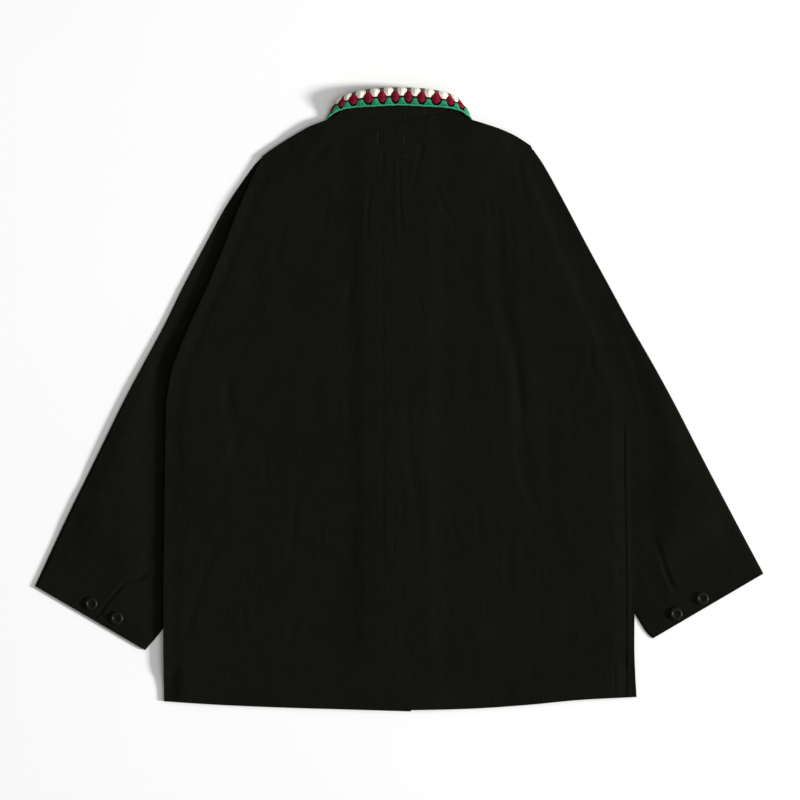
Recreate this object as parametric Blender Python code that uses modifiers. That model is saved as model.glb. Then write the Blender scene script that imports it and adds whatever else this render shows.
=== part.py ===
# A black cotton work jacket with a crocheted collar, laid flat on its front, back up.
# Lengths are millimetres until a mesh is made. Seen from above, +X is right and +Y is to the collar.
import math
from collections import namedtuple

import bmesh
import bpy
from mathutils import Vector

MM = 0.001
MERGE = 0.00001

# Driving dimensions
CLOTH = 1.2               # cotton, one layer
SEAM = 0.3                # between pieces that are sewn or laid together
LAYER_GAP = 0.4           # least gap between the front and the back
CENTRE_BACK = -12.7       # x of the centre-back seam
HALF_SEAM = 0.15
FRONT_OUTER_X = 16.0      # free edge of the front that laps over
FRONT_INNER_X = -25.0     # free edge of the front that lies inside
FRONT_HEM = -427.0        # the lapped front hangs 2 mm below the back
CENTRE_LINE = -4.5        # line of the front buttons
CROCHET_WALL = 1.8
CROCHET_RELIEF = 1.2
CROCHET = CROCHET_WALL + CROCHET_RELIEF
PITCH = 18.7              # one crochet shell to the next
SLEEVE_FLAT = 2.7         # both walls of a pressed sleeve
SLEEVE_PUFF = 3.0         # how far a sleeve swells
CENTRE_LIFT = 3.3         # the buttons hold the closure off the surface
NECK_LIFT = 3.3           # the collar's front leaves hold the neck up
COLLAR_TURN_LIFT = 1.8    # and more where the collar turns over the shoulder
SLEEVE_LIFT = 3.0         # the sleeve passes under the front
PLACKET_STEP = 1.6        # one front over the other
ARMHOLE_LIFT = 1.8
SWELL = 6.4               # top of the back where nothing presses it
ARMHOLE_INSET = 14.0      # the fronts' armhole edges lie this far inside the back's side
ARMHOLE_SEAM = 0.7        # between a front's armhole edge and the sleeve
HALF_TURN = 0.5           # rise of a sleeve's ring at its folds
BODY_ROWS = 26
SLEEVE_ROWS = 10          # rows of a sleeve below the underarm
SLEEVE_ACROSS = 8
FOLDED_EDGE = [(0.5, 0.93), (2.6, 1.0)]     # distance from a sleeve's fold, share of its height

# Where a height rises: from nothing at the first number to all of it at the second
CENTRE_ACROSS = (78, 40)          # from the line of the front buttons
CENTRE_ABOVE_HEM = (-385, -310)
NECK_REACH = (178, 138)           # from the middle of the neck
TURN_REACH = (46, 14)             # from where the collar turns over the shoulder
PLACKET_ACROSS = (76, 40)
PLACKET_IN_BACK = (-84, -47)
UNDER_SLEEVE = (-80, -42)         # from the sleeve's inner fold
ARMHOLE_ACROSS = (70, 40)         # from the body's side
ARMHOLE_UP = (-40, 5)
SIDE_SWELL = (-4, 30)
HEM_SWELL = (-425, -370)
SHOULDER_SWELL = (-6, 45)
SLEEVE_FROM_BODY = (22, 62)
SLEEVE_FROM_CUFF = (62, 110)
SLEEVE_FROM_FOLD = (0, 34)
ARMHOLE_RISE = (-4, 60)           # from the underarm's height
GATHERED = (60, 30)               # from the middle of the back
GATHER_START = (-0.1, 0.2)        # share of the stand, from its seam

NECK_MIDDLE_Y = 392.0
HEM_SHARE = 0.45                  # of the swell, that is left at the hem
FOLD_SHARE = 0.35                 # of the swell, that is left at a sleeve's outer fold
SLEEVE_SPREAD = 1.2               # how fast the lift under a sleeve moves out above and below it

Row = namedtuple("Row", "y left right")
Spot = namedtuple("Spot", "x y")
Fold = namedtuple("Fold", "x1 y1 x2 y2 width height")
Station = namedtuple("Station", "along kx ky kz ex ey ez roll tilt nx ny nz")
Cluster = namedtuple("Cluster", "across phase half_long half_wide")

# Side of the body, from the hem to the shoulder tip
HEM_CORNER = {"left": Spot(-322, -413), "right": Spot(325, -407)}
SHOULDER_TIP = {"left": Spot(-187, 334), "right": Spot(180, 348)}
BODY_EDGE = [
    Row(-350, -323, 322),
    Row(-274, -323, 322),
    Row(-199, -322, 321),
    Row(-117, -321, 320),
    Row(-62, -320, 319),
    Row(-7, -319, 317),
    Row(20, -315, 312),
    Row(48, -309, 304),
    Row(102, -287, 283),
    Row(157, -262, 260),
    Row(212, -239, 235),
    Row(267, -218, 217),
]
UNDERARM_Y = 20.0

SHOULDER = {
    "left": [Spot(-166, 349), Spot(-129, 371), Spot(-112, 377.5), Spot(-98, 377), Spot(-82, 383)],
    "right": [Spot(159, 360), Spot(138, 371), Spot(114, 377.5), Spot(99, 377), Spot(83, 383)],
}
SHOULDER_SLOPE = Spot(398, 0.52)  # height of the shoulder line above the neck point, and its fall
SHOULDER_COSINE = 0.86
NECK_POINT = {"left": Spot(-67, 393), "right": Spot(68, 393)}
BACK_NECK_SHARE = 0.66            # of the back's top line that is shoulder
FRONT_NECK_SHARE = 0.5
# Places along the collar's seam that the back's neck edge follows, the last at the centre-back seam
BACK_NECK = {"left": [-66, -52, -39, -27], "right": [66, 52, 39, 26, 12, 0, -8]}
BACK_NECK_CENTRE = -16
NECK_SEAM = 0.9                   # between the back's neck edge and the collar's stand
FRONT_NECK = [Row(372, -64, 65), Row(347, -50, 51), Row(329, -30, 31), Row(320, -8, 8)]
FRONT_NECK_CENTRE_Y = 319.0
TOP_LEAD = 0.12                   # share of a front's top line that is led to its side
BACK_HEM = {
    "left": [Spot(-243, -418), Spot(-147, -422), Spot(-51, -424.5)],
    "right": [Spot(248, -411), Spot(174, -418), Spot(100, -423), Spot(22, -425)],
}
BACK_HEM_CENTRE_Y = -425.0

# Sleeves: outer fold and inner fold, by height
CUFF_OUTER = {"left": Spot(-498.8, -255), "right": Spot(498.8, -238)}
CUFF_INNER = {"left": Spot(-348, -343), "right": Spot(347, -327)}
SLEEVE_TOP = {"left": Spot(-189, 331), "right": Spot(184, 342)}
SLEEVE_OUTER = [
    Row(-165, -457, 460),
    Row(-83, -417, 417),
    Row(-7, -380, 378),
    Row(48, -351, 348),
    Row(102, -322, 317),
    Row(157, -295, 287),
    Row(212, -266, 257),
    Row(267, -236, 228),
    Row(318, -201, 200),
]
SLEEVE_INNER = [
    Row(-312, -323, 334),
    Row(-262, -296, 306),
    Row(-205, -276, 281),
    Row(-150, -266, 268),
    Row(-90, -266, 266),
    Row(-40, -276, 276),
    Row(-5, -293, 292),
]
FLAP = {
    "left": [Spot(-405, -307), Spot(-381, -321), Spot(-374, -248), Spot(-350, -262)],
    "right": [Spot(403, -292), Spot(379, -306), Spot(372, -240), Spot(348, -254)],
}
CUFF_BUTTONS = {
    "left": [Spot(-422, -279), Spot(-387, -299)],
    "right": [Spot(415, -272), Spot(379, -293)],
}
FRONT_BUTTON_YS = [262, 132, 2, -128, -258]
CUFF_BUTTON_PROFILE = [(0, 2.0), (5.2, 2.1), (6.4, 3.4), (7.8, 3.4), (9, 2.1), (7.6, 0), (0, 0)]
FRONT_BUTTON_PROFILE = [(0, 3.0), (7.4, 3.0), (9, 1.4), (7.4, 0), (0, 0)]

# Largest folds of the back: a trough is negative, a ridge positive
BACK_FOLDS = [
    Fold(134, 276, 143, 123, 24, -2.2),
    Fold(143, 123, 169, -30, 26, -2.4),
    Fold(169, -30, 186, -158, 22, -1.8),
    Fold(150, -190, 158, -300, 20, -1.4),
    Fold(5, 345, 6, 215, 16, -1.6),
    Fold(-40, 290, -75, 96, 20, -1.6),
    Fold(49, 308, 90, 215, 18, -1.4),
    Fold(12, 30, 28, -235, 18, -1.5),
    Fold(-85, 365, -133, 300, 24, -1.8),
    Fold(-142, -120, -150, -225, 18, -1.6),
    Fold(-252, -192, -290, -340, 20, -1.6),
    Fold(-230, 68, -220, -165, 22, -1.6),
    Fold(284, -157, 300, -270, 20, -1.6),
    Fold(257, 110, 246, -20, 18, -1.4),
    Fold(188, 330, 285, 105, 18, 1.8),
    Fold(-200, 250, -290, 40, 20, 1.8),
    Fold(210, 60, 232, -140, 26, 1.2),
    Fold(-140, 180, -160, -60, 30, 1.2),
    Fold(-60, -60, -70, -300, 28, 1.2),
    Fold(85, 120, 95, -130, 28, 1.2),
]
SLEEVE_FOLDS = [
    Fold(334, -150, 378, -258, 18, -1.6),
    Fold(-335, -180, -374, -252, 18, -1.4),
    Fold(-390, -60, -430, -190, 24, 1.0),
    Fold(385, -20, 425, -180, 24, 1.0),
]

# The collar, from the middle of the back round to its front end: k is the inner end of the section, e the
# crocheted edge, n the seam to the back; roll is how far it bulges, tilt which way it faces, 0 up and
# 180 down
COLLAR = [
    Station(0, 0, 427.2, 12, 0, 402, 14.5, 1.0, 0, 0, 380.6, 8.2),
    Station(39, -39, 425.4, 11.5, -37, 400.4, 14, 0.97, 0, -31, 384.8, 8.0),
    Station(65, -63, 420.5, 10.5, -66, 398.6, 12.5, 0.85, 14, -56, 391.0, 7.6),
    Station(88, -76, 413.5, 9.0, -86, 394.0, 9.6, 0.6, 42, -66.3, 393.8, 7.6),
    Station(104, -80, 406, 6.5, -98.5, 386.5, 5.2, 0.35, 88, -69, 399.0, 7.0),
    Station(114, -79, 400, 4.2, -101, 382.5, 3.0, 0.2, 130, -70, 396, 6.0),
    Station(124, -75.5, 393.5, 1.4, -102.5, 375, 0.9, 0.05, 168, -70, 390, 5.0),
    Station(140, -71, 383, 0, -107, 361, 0, 0.0, 180, -70, 380, 4.0),
    Station(172, -56, 353, 0, -92, 328, 0, 0.0, 180, -56, 350, 4.0),
    Station(200, -33, 331, 0, -56, 295, 0, 0.0, 180, -33, 330, 4.0),
    Station(226, -8, 322, 0, -14, 281, 0, 0.0, 180, -8, 320, 4.0),
]
COLLAR_HALF = 226.0
COLLAR_WIDTH = 39.0       # from its inner end over the fold to the crocheted edge
FALL_BULGE = [(3.5, 14.0), (10.0, 16.5)]    # how far the section's middle corners lie up and off its chord
COLLAR_TURN = Spot(92, 380)
COLLAR_OUTWARD = -1
CROCHET_COLUMNS = round(2 * COLLAR_HALF / PITCH) * 4
BASE_COLUMNS = 38         # as long as the crochet's, so the two lie together
BASE_HALF = COLLAR_HALF * BASE_COLUMNS / CROCHET_COLUMNS
CLUSTER_PHASE = 3.7
CLUSTERS = [
    Cluster(0.13, 0.5, 8.0, 6.0),
    Cluster(0.37, 0.0, 7.4, 6.6),
    Cluster(0.61, 0.5, 7.0, 8.0),
    Cluster(0.85, 0.0, 8.0, 6.6),
]
GATHERS = 10
GATHERED_WIDTH = 76.0
GATHER_HEIGHT = 0.7
STAND_SHARES = [0.0, 0.3, 0.6, 0.84]        # rows of the stand, from the seam to the fold
BACKING = [0.03, 0.125, 0.25, 0.375, 0.5, 0.625, 0.75, 0.875]   # and behind the crochet

COLLECTION = bpy.data.collections.new("jacket")


def ramp(value, start, end):
    """Goes smoothly from 0 at start to 1 at end."""
    part = min(1.0, max(0.0, (value - start) / (end - start)))
    return part * part * (3 - 2 * part)


def blend(*values):
    """The largest value, rounded where two are alike."""
    return sum(max(value, 0.0) ** 5 for value in values) ** 0.2


def read_table(rows, side, y):
    """x of one side at a height, from a table of rows."""
    first, last = rows[0], rows[-1]
    if y <= first.y:
        return getattr(first, side)
    for low, high in zip(rows, rows[1:]):
        if y <= high.y:
            part = (y - low.y) / (high.y - low.y)
            return getattr(low, side) * (1 - part) + getattr(high, side) * part
    return getattr(last, side)


def smooth_line(points, steps=6):
    """A function from 0..1, by length, to a point on a smooth line through the points."""
    spots = [Vector(point) for point in points]
    ends = [spots[0] * 2 - spots[1]] + spots + [spots[-1] * 2 - spots[-2]]
    line = [spots[0]]
    for before, start, end, after in zip(ends, ends[1:], ends[2:], ends[3:]):
        for step in range(1, steps + 1):
            t = step / steps
            line.append(
                0.5 * (2 * start + (end - before) * t + (2 * before - 5 * start + 4 * end - after) * t ** 2
                       + (3 * start - before - 3 * end + after) * t ** 3)
            )
    reach = [0.0]
    for start, end in zip(line, line[1:]):
        reach.append(reach[-1] + (end - start).length)

    def at(part):
        goal = min(max(part, 0.0), 1.0) * reach[-1]
        for index in range(len(reach) - 1):
            if goal <= reach[index + 1]:
                break
        span = max(reach[index + 1] - reach[index], 1e-9)
        return line[index].lerp(line[index + 1], (goal - reach[index]) / span)

    return at


def joined(first, second, share):
    """Two lines as one, the first taking the given share."""
    return lambda part: first(part / share) if part < share else second((part - share) / (1 - share))


def patch(bottom, top, left, right):
    """A flat surface stretched between four lines."""
    def at(u, v):
        sides = bottom(u) * (1 - v) + top(u) * v + left(v) * (1 - u) + right(v) * u
        low = bottom(0) * (1 - u) + bottom(1) * u
        high = top(0) * (1 - u) + top(1) * u
        return sides - low * (1 - v) - high * v

    return at


def fold_height(folds, x, y):
    """Sum of the folds at a point."""
    total = 0.0
    for fold in folds:
        start, run = Vector((fold.x1, fold.y1)), Vector((fold.x2 - fold.x1, fold.y2 - fold.y1))
        part = (Vector((x, y)) - start).dot(run) / run.length_squared
        away = (Vector((x, y)) - start - run * min(max(part, 0), 1)).length
        fade = ramp(part, -0.25, 0.15) * ramp(part, 1.25, 0.85)
        total += fold.height * math.exp(-(away / fold.width) ** 2) * fade
    return total


def edge_x(side, y):
    """x of the body's side at a height."""
    tip = SHOULDER_TIP[side]
    if y > BODY_EDGE[-1].y:
        part = (y - BODY_EDGE[-1].y) / (tip.y - BODY_EDGE[-1].y)
        return getattr(BODY_EDGE[-1], side) * (1 - part) + tip.x * part
    return read_table(BODY_EDGE, side, y)


def under_sleeve(x, y):
    """1 where a sleeve passes under the body, falling to 0 around it."""
    side = "left" if x < 0 else "right"
    inner = abs(read_table(SLEEVE_INNER, side, y))
    inner += SLEEVE_SPREAD * max(0.0, y - 30, -330 - y)
    return ramp(abs(x) - inner, *UNDER_SLEEVE)


def front_lift(x, y):
    """How far the fronts are held off the surface."""
    centre = CENTRE_LIFT * ramp(abs(x - CENTRE_LINE), *CENTRE_ACROSS) * ramp(y, *CENTRE_ABOVE_HEM)
    neck = NECK_LIFT * ramp(math.hypot(x, y - NECK_MIDDLE_Y), *NECK_REACH)
    neck += COLLAR_TURN_LIFT * ramp(math.hypot(abs(x) - COLLAR_TURN.x, y - COLLAR_TURN.y), *TURN_REACH)
    return blend(centre, neck, SLEEVE_LIFT * under_sleeve(x, y))


def placket_step(x):
    """How far the inner front is held up by the one that laps it."""
    return PLACKET_STEP * ramp(x, *PLACKET_ACROSS)


def back_floor(x, y):
    """Lowest place for the underside of the back."""
    side = "left" if x < 0 else "right"
    inside = abs(edge_x(side, y)) - abs(x)
    armhole = ARMHOLE_LIFT * ramp(inside, *ARMHOLE_ACROSS) * ramp(y, *ARMHOLE_UP)
    step = placket_step(x) * ramp(x, *PLACKET_IN_BACK)
    return CLOTH + LAYER_GAP + step + blend(front_lift(x, y), armhole)


def back_top(x, y):
    """Upper side of the back."""
    side = "left" if x < 0 else "right"
    inside = abs(edge_x(side, y)) - abs(x)
    fall = SHOULDER_SLOPE.y * (abs(x) - NECK_POINT["right"].x)
    from_shoulder = SHOULDER_COSINE * (SHOULDER_SLOPE.x - y - fall)
    from_hem = HEM_SHARE + (1 - HEM_SHARE) * ramp(y, *HEM_SWELL)
    window = ramp(inside, *SIDE_SWELL) * from_hem * ramp(from_shoulder, *SHOULDER_SWELL)
    free = (SWELL + fold_height(BACK_FOLDS, x, y)) * window
    return blend(back_floor(x, y) + CLOTH, free)


def sleeve_top(x, y):
    """Upper side of a sleeve."""
    side = "left" if x < 0 else "right"
    outside = abs(x) - abs(edge_x(side, y))
    cuff_start, cuff_end = CUFF_OUTER[side], CUFF_INNER[side]
    along = (Vector(cuff_end) - Vector(cuff_start)).normalized()
    offset = Vector((x, y)) - Vector(cuff_start)
    from_cuff = abs(along.x * offset.y - along.y * offset.x)
    outer = abs(read_table(SLEEVE_OUTER, side, y)) - abs(x)
    from_fold = FOLD_SHARE + (1 - FOLD_SHARE) * ramp(outer, *SLEEVE_FROM_FOLD)
    free = ramp(outside, *SLEEVE_FROM_BODY) * ramp(from_cuff, *SLEEVE_FROM_CUFF) * from_fold
    return SLEEVE_FLAT + max(0.0, (SLEEVE_PUFF + fold_height(SLEEVE_FOLDS, x, y)) * free)


def material(name, colour, roughness, metallic=0.0):
    """A plain finish in the part's own colour."""
    made = bpy.data.materials.new(name)
    made.use_nodes = True
    shader = made.node_tree.nodes["Principled BSDF"]
    shader.inputs["Base Color"].default_value = (*colour, 1)
    shader.inputs["Roughness"].default_value = roughness
    shader.inputs["Metallic"].default_value = metallic
    return made


def add_object(name, mesh_data, finish):
    """Puts a mesh in the jacket's collection."""
    item = bpy.data.objects.new(name, mesh_data)
    item.data.materials.append(finish)
    COLLECTION.objects.link(item)
    return item


def sheet_solid(name, columns, rows, place, wall, finish, grow=-1, direction=None, ring=False, open_at=None):
    """A grid moved to its shape, then given its wall along a direction, or else along its normals."""
    mesh = bmesh.new()
    u_layer = mesh.verts.layers.float.new("u")
    v_layer = mesh.verts.layers.float.new("v")
    bmesh.ops.create_grid(mesh, x_segments=columns, y_segments=rows, size=0.5)
    for vert in mesh.verts:
        vert[u_layer] = vert.co.x + 0.5
        vert[v_layer] = vert.co.y + 0.5
    for vert in mesh.verts:
        vert.co = Vector(place(vert[u_layer], vert[v_layer])) * MM
    if ring:
        bmesh.ops.remove_doubles(mesh, verts=mesh.verts, dist=MERGE)
    if open_at:
        gone = [
            face for face in mesh.faces
            if open_at([(vert[u_layer], vert[v_layer]) for vert in face.verts])
        ]
        bmesh.ops.delete(mesh, geom=gone, context="FACES")
    mesh.normal_update()
    grown = bmesh.ops.extrude_face_region(mesh, geom=mesh.faces[:])
    moved = [item for item in grown["geom"] if isinstance(item, bmesh.types.BMVert)]
    ways = {vert: direction or vert.normal * grow for vert in moved}
    for vert, way in ways.items():
        vert.co += way * wall(vert[u_layer], vert[v_layer]) * MM
    bmesh.ops.recalc_face_normals(mesh, faces=mesh.faces)
    data = bpy.data.meshes.new(name)
    mesh.to_mesh(data)
    mesh.free()
    data.shade_smooth()
    data.set_sharp_from_angle(angle=math.radians(50))
    return add_object(name, data, finish)


def body_side(side, inset=None):
    """Side line of the body from the hem to the shoulder tip, moved in by inset(y)."""
    rows = [Spot(getattr(row, side), row.y) for row in BODY_EDGE]
    points = [HEM_CORNER[side], *rows, SHOULDER_TIP[side]]
    way = 1 if side == "left" else -1
    moved = inset or (lambda y: 0.0)
    return smooth_line([(point.x + way * moved(point.y), point.y) for point in points])


def shoulder_and_neck(side, neck_points, neck_share):
    """Top line from the shoulder tip to the neck point and on along the neck."""
    start = Spot(SHOULDER_TIP[side].x, SHOULDER_TIP[side].y)
    shoulder = smooth_line([start, *SHOULDER[side], NECK_POINT[side]])
    return joined(shoulder, smooth_line([NECK_POINT[side], *neck_points]), neck_share)


def make_back(side, section, finish):
    """Half of the back, from its side to the centre-back seam."""
    way = 1 if side == "right" else -1
    seam_x = CENTRE_BACK + way * HALF_SEAM

    def below_collar(distance):
        """A place on the neck edge, just below the collar's seam."""
        seam = section(distance, 0.5)[2]
        return Spot(seam.x, seam.y - NECK_SEAM)

    edge = body_side(side)
    middle_top = Spot(seam_x, below_collar(BACK_NECK_CENTRE).y)
    neck = [below_collar(distance) for distance in BACK_NECK[side]]
    top = shoulder_and_neck(side, [*neck, middle_top], BACK_NECK_SHARE)
    hem = smooth_line([edge(0), *BACK_HEM[side], Spot(seam_x, BACK_HEM_CENTRE_Y)])
    plan = patch(hem, top, edge, smooth_line([Spot(seam_x, BACK_HEM_CENTRE_Y), middle_top]))

    def place(u, v):
        spot = plan(u, v)
        return spot.x, spot.y, back_top(spot.x, spot.y)

    return sheet_solid(
        "back_" + side, 14, BODY_ROWS, place, lambda u, v: CLOTH, finish, direction=Vector((0, 0, -1))
    )


def front_plan(side, edge_inset, centre_x):
    """Plan of a front, from its side to its free edge."""
    edge = body_side(side, edge_inset)
    neck = [Spot(getattr(row, side), row.y) for row in FRONT_NECK]
    top = shoulder_and_neck(side, [*neck, Spot(centre_x, FRONT_NECK_CENTRE_Y)], FRONT_NECK_SHARE)

    def meeting_top(part):
        """The top line, led to the side's upper end."""
        return top(part) + (edge(1) - top(0)) * max(0.0, 1 - part / TOP_LEAD)

    hem_y = FRONT_HEM if side == "left" else BACK_HEM_CENTRE_Y
    hem = smooth_line([edge(0), *BACK_HEM[side][:-1], Spot(centre_x, hem_y)])
    closure = smooth_line([Spot(centre_x, hem_y), Spot(centre_x, FRONT_NECK_CENTRE_Y)])
    return patch(hem, meeting_top, edge, closure)


def armhole_inset(y):
    """How far a front's armhole edge lies inside the body's side."""
    return ARMHOLE_INSET * ramp(y - UNDERARM_Y, *ARMHOLE_RISE)


def make_front_left(finish):
    """The front that laps over the other: it lies lowest."""
    plan = front_plan("left", armhole_inset, FRONT_OUTER_X)

    def place(u, v):
        spot = plan(u, v)
        return spot.x, spot.y, front_lift(spot.x, spot.y)

    return sheet_solid(
        "front_left", 9, BODY_ROWS, place, lambda u, v: CLOTH, finish, direction=Vector((0, 0, 1))
    )


def make_front_right(finish):
    """The inner front, whose free edge lies on the other."""
    plan = front_plan("right", armhole_inset, FRONT_INNER_X)

    def place(u, v):
        spot = plan(u, v)
        return spot.x, spot.y, front_lift(spot.x, spot.y) + placket_step(spot.x)

    return sheet_solid(
        "front_right", 9, BODY_ROWS, place, lambda u, v: CLOTH, finish, direction=Vector((0, 0, 1))
    )


def sleeve_ring():
    """Places round a sleeve: share of the clear width, distance from the outer and the inner fold, rise."""
    flat = FOLDED_EDGE[-1][0]
    half = [(0.0, inset, rise) for inset, rise in FOLDED_EDGE]
    half += [(index / SLEEVE_ACROSS, flat, 1.0) for index in range(1, SLEEVE_ACROSS)]
    half += [(1.0, 2 * flat - inset, rise) for inset, rise in reversed(FOLDED_EDGE)]
    lower_half = [(share, inset, 1 - rise) for share, inset, rise in reversed(half)]
    return [(0.0, 0.0, HALF_TURN), *half, (1.0, 2 * flat, HALF_TURN), *lower_half]


def make_sleeve(side, finish):
    """A pressed tube from the cuff to the shoulder tip, open where it joins the body."""
    way = 1 if side == "left" else -1
    rows = [Spot(getattr(row, side), row.y) for row in SLEEVE_OUTER]
    outer = [CUFF_OUTER[side], *rows, SLEEVE_TOP[side]]
    outer_line = smooth_line(outer)
    front_edge = body_side(side, armhole_inset)
    armhole = [front_edge(row / BODY_ROWS) - Vector((way * ARMHOLE_SEAM, 0)) for row in range(BODY_ROWS + 1)]
    armhole = [spot for spot in armhole if spot.y > UNDERARM_Y]
    under = [CUFF_INNER[side]] + [Spot(getattr(row, side), row.y) for row in SLEEVE_INNER]
    under_line = smooth_line([*under, armhole[0]])
    inner = [under_line(row / SLEEVE_ROWS) for row in range(SLEEVE_ROWS)] + armhole
    ring = sleeve_ring()
    inner_fold = len(ring) // 2
    last = len(inner) - 1

    def place(u, v):
        share, inset, rise = ring[round(u * len(ring)) % len(ring)]
        start, end = outer_line(v), inner[round(v * last)]
        clear = (end - start).length - 2 * FOLDED_EDGE[-1][0]
        spot = start + (end - start).normalized() * (inset + share * clear)
        if share == 1 and round(v * last) >= SLEEVE_ROWS and rise != HALF_TURN:
            rise = round(rise)
        return spot.x, spot.y, sleeve_top(spot.x, spot.y) * rise

    def is_armhole(corners):
        at_fold = any(round(u * len(ring)) == inner_fold for u, v in corners)
        return at_fold and all(round(v * last) >= SLEEVE_ROWS for u, v in corners)

    return sheet_solid(
        "sleeve_" + side, len(ring), last, place, lambda u, v: CLOTH, finish,
        grow=-way, ring=True, open_at=is_armhole,
    )


def make_flap(side, finish):
    """The strip that edges the cuff's slit."""
    low_slit, low_far, high_slit, high_far = [Vector(spot) for spot in FLAP[side]]

    def place(u, v):
        spot = low_slit.lerp(low_far, u).lerp(high_slit.lerp(high_far, u), v)
        return spot.x, spot.y, sleeve_top(spot.x, spot.y) + SEAM

    return sheet_solid(
        "cuff_flap_" + side, 3, 5, place, lambda u, v: CLOTH, finish, direction=Vector((0, 0, 1))
    )


def make_collar_section():
    """Returns a function from a place on the collar to its outer surface and its outward way."""
    def along(name, distance):
        """One column of the table at a distance from the middle of the back."""
        keys = [row.along for row in COLLAR]
        values = [getattr(row, name) for row in COLLAR]
        slopes = []
        for index in range(len(keys)):
            low, high = max(index - 1, 0), min(index + 1, len(keys) - 1)
            slopes.append((values[high] - values[low]) / (keys[high] - keys[low]))
        if not name.endswith("x"):
            slopes[0] = 0.0
        for index in range(len(keys) - 1):
            if distance <= keys[index + 1]:
                break
        span = keys[index + 1] - keys[index]
        t = min(1.0, max(0.0, (distance - keys[index]) / span))
        return (
            values[index] * (2 * t ** 3 - 3 * t ** 2 + 1) + slopes[index] * span * (t ** 3 - 2 * t ** 2 + t)
            + values[index + 1] * (3 * t ** 2 - 2 * t ** 3) + slopes[index + 1] * span * (t ** 3 - t ** 2)
        )

    def section(distance, across, inward=0.0):
        side = -1 if distance <= 0 else 1
        reach = abs(distance)
        inner = Vector([along(name, reach) for name in ("kx", "ky", "kz")])
        edge = Vector([along(name, reach) for name in ("ex", "ey", "ez")])
        inner.z, edge.z = max(inner.z, 0.0), max(edge.z, 0.0)
        run = (inner - edge).normalized()
        flat = Vector((run.x, run.y, 0)).normalized()
        away = Vector((-flat.y, flat.x, 0))
        tilt = math.radians(along("tilt", reach))
        face = Vector((0, 0, math.cos(tilt))) + away * math.sin(tilt)
        roll = max(0.0, along("roll", reach))
        third = (edge - inner) / 3 * (1 - roll)
        near_bulge, far_bulge = [(run * up + face * off) * roll for up, off in FALL_BULGE]
        corners = [inner, inner + third + near_bulge, edge - third + far_bulge, edge]
        profile = smooth_line([bezier(corners, step / 12) for step in range(13)], steps=1)
        ahead = profile(min(1.0, across + 0.02)) - profile(max(0.0, across - 0.02))
        face = (face - run * face.dot(run)).normalized()
        outward = (run * ahead.dot(face) - face * ahead.dot(run)).normalized()
        spot = profile(across) - outward * inward
        seam = Vector([along(name, reach) for name in ("nx", "ny", "nz")])
        if side > 0:
            spot.x, outward.x, seam.x = -spot.x, -outward.x, -seam.x
        return spot, outward, seam

    return section


def bezier(corners, t):
    """A point on a cubic curve."""
    return (
        corners[0] * (1 - t) ** 3 + corners[1] * 3 * t * (1 - t) ** 2
        + corners[2] * 3 * t ** 2 * (1 - t) + corners[3] * t ** 3
    )


def cluster_relief(distance, across):
    """How high the crochet stands at a place, 0..1."""
    height = 0.0
    for row in CLUSTERS:
        step = (distance - CLUSTER_PHASE) / PITCH - row.phase
        long = (step - round(step)) * PITCH / row.half_long
        wide = (across - row.across) * COLLAR_WIDTH / row.half_wide
        height = max(height, 1 - long ** 2 - wide ** 2)
    return math.sqrt(max(height, 0.0))


def make_crochet(section, finish):
    """The crocheted collar: clusters raised on its outside over a plain inside."""
    def place(u, v):
        return section((2 * u - 1) * COLLAR_HALF, v, CROCHET)[0]

    def wall(u, v):
        return CROCHET_WALL + CROCHET_RELIEF * cluster_relief((2 * u - 1) * COLLAR_HALF, v)

    return sheet_solid("crochet_collar", CROCHET_COLUMNS, 8, place, wall, finish, grow=COLLAR_OUTWARD)


def make_collar_base(section, finish):
    """The black band that stands at the neck, turns at the fold and backs the crochet."""
    inward = CROCHET + SEAM
    rows = len(STAND_SHARES) + len(BACKING) - 1

    def place(u, v):
        distance = (2 * u - 1) * BASE_HALF
        row = round(v * rows)
        if row >= len(STAND_SHARES):
            return section(distance, BACKING[row - len(STAND_SHARES)], inward)[0]
        share = STAND_SHARES[row]
        foot = section(distance, BACKING[0], inward)[0]
        seam = section(distance, 0.5)[2]
        seam.z -= CLOTH
        spot = seam.lerp(foot, share)
        spot.z = seam.z + (foot.z - seam.z) * share ** 3
        wave = 0.5 + 0.5 * math.cos(2 * math.pi * GATHERS * distance / GATHERED_WIDTH)
        gather = GATHER_HEIGHT * (1 - share) * ramp(abs(distance), *GATHERED)
        spot.z += gather * ramp(share, *GATHER_START) * wave
        return spot

    return sheet_solid(
        "collar_base", BASE_COLUMNS, rows, place, lambda u, v: CLOTH, finish, grow=-COLLAR_OUTWARD
    )


def make_button(name, spot, low, profile, sides, finish):
    """A turned button: the profile runs down the outside, top to bottom."""
    data = bpy.data.meshes.new(name)
    mesh = bmesh.new()
    verts = [mesh.verts.new((radius * MM, 0, height * MM)) for radius, height in profile]
    for start, end in zip(verts, verts[1:]):
        mesh.edges.new((start, end))
    mesh.to_mesh(data)
    mesh.free()
    button = add_object(name, data, finish)
    button.location = (spot.x * MM, spot.y * MM, low * MM)
    turn = button.modifiers.new("turn", "SCREW")
    turn.steps = turn.render_steps = sides
    turn.use_merge_vertices = True
    turn.merge_threshold = MERGE
    return button


def make_buttons(finish):
    """Two on each cuff, and the front's under the closure."""
    for side, spots in CUFF_BUTTONS.items():
        for number, spot in enumerate(spots, 1):
            low = SLEEVE_FLAT + SEAM + (CLOTH + SEAM) * (number == 2)
            make_button(f"cuff_button_{side}_{number}", spot, low, CUFF_BUTTON_PROFILE, 18, finish)
    for number, y in enumerate(FRONT_BUTTON_YS, 1):
        make_button(f"front_button_{number}", Spot(CENTRE_LINE, y), 0, FRONT_BUTTON_PROFILE, 16, finish)


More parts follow.
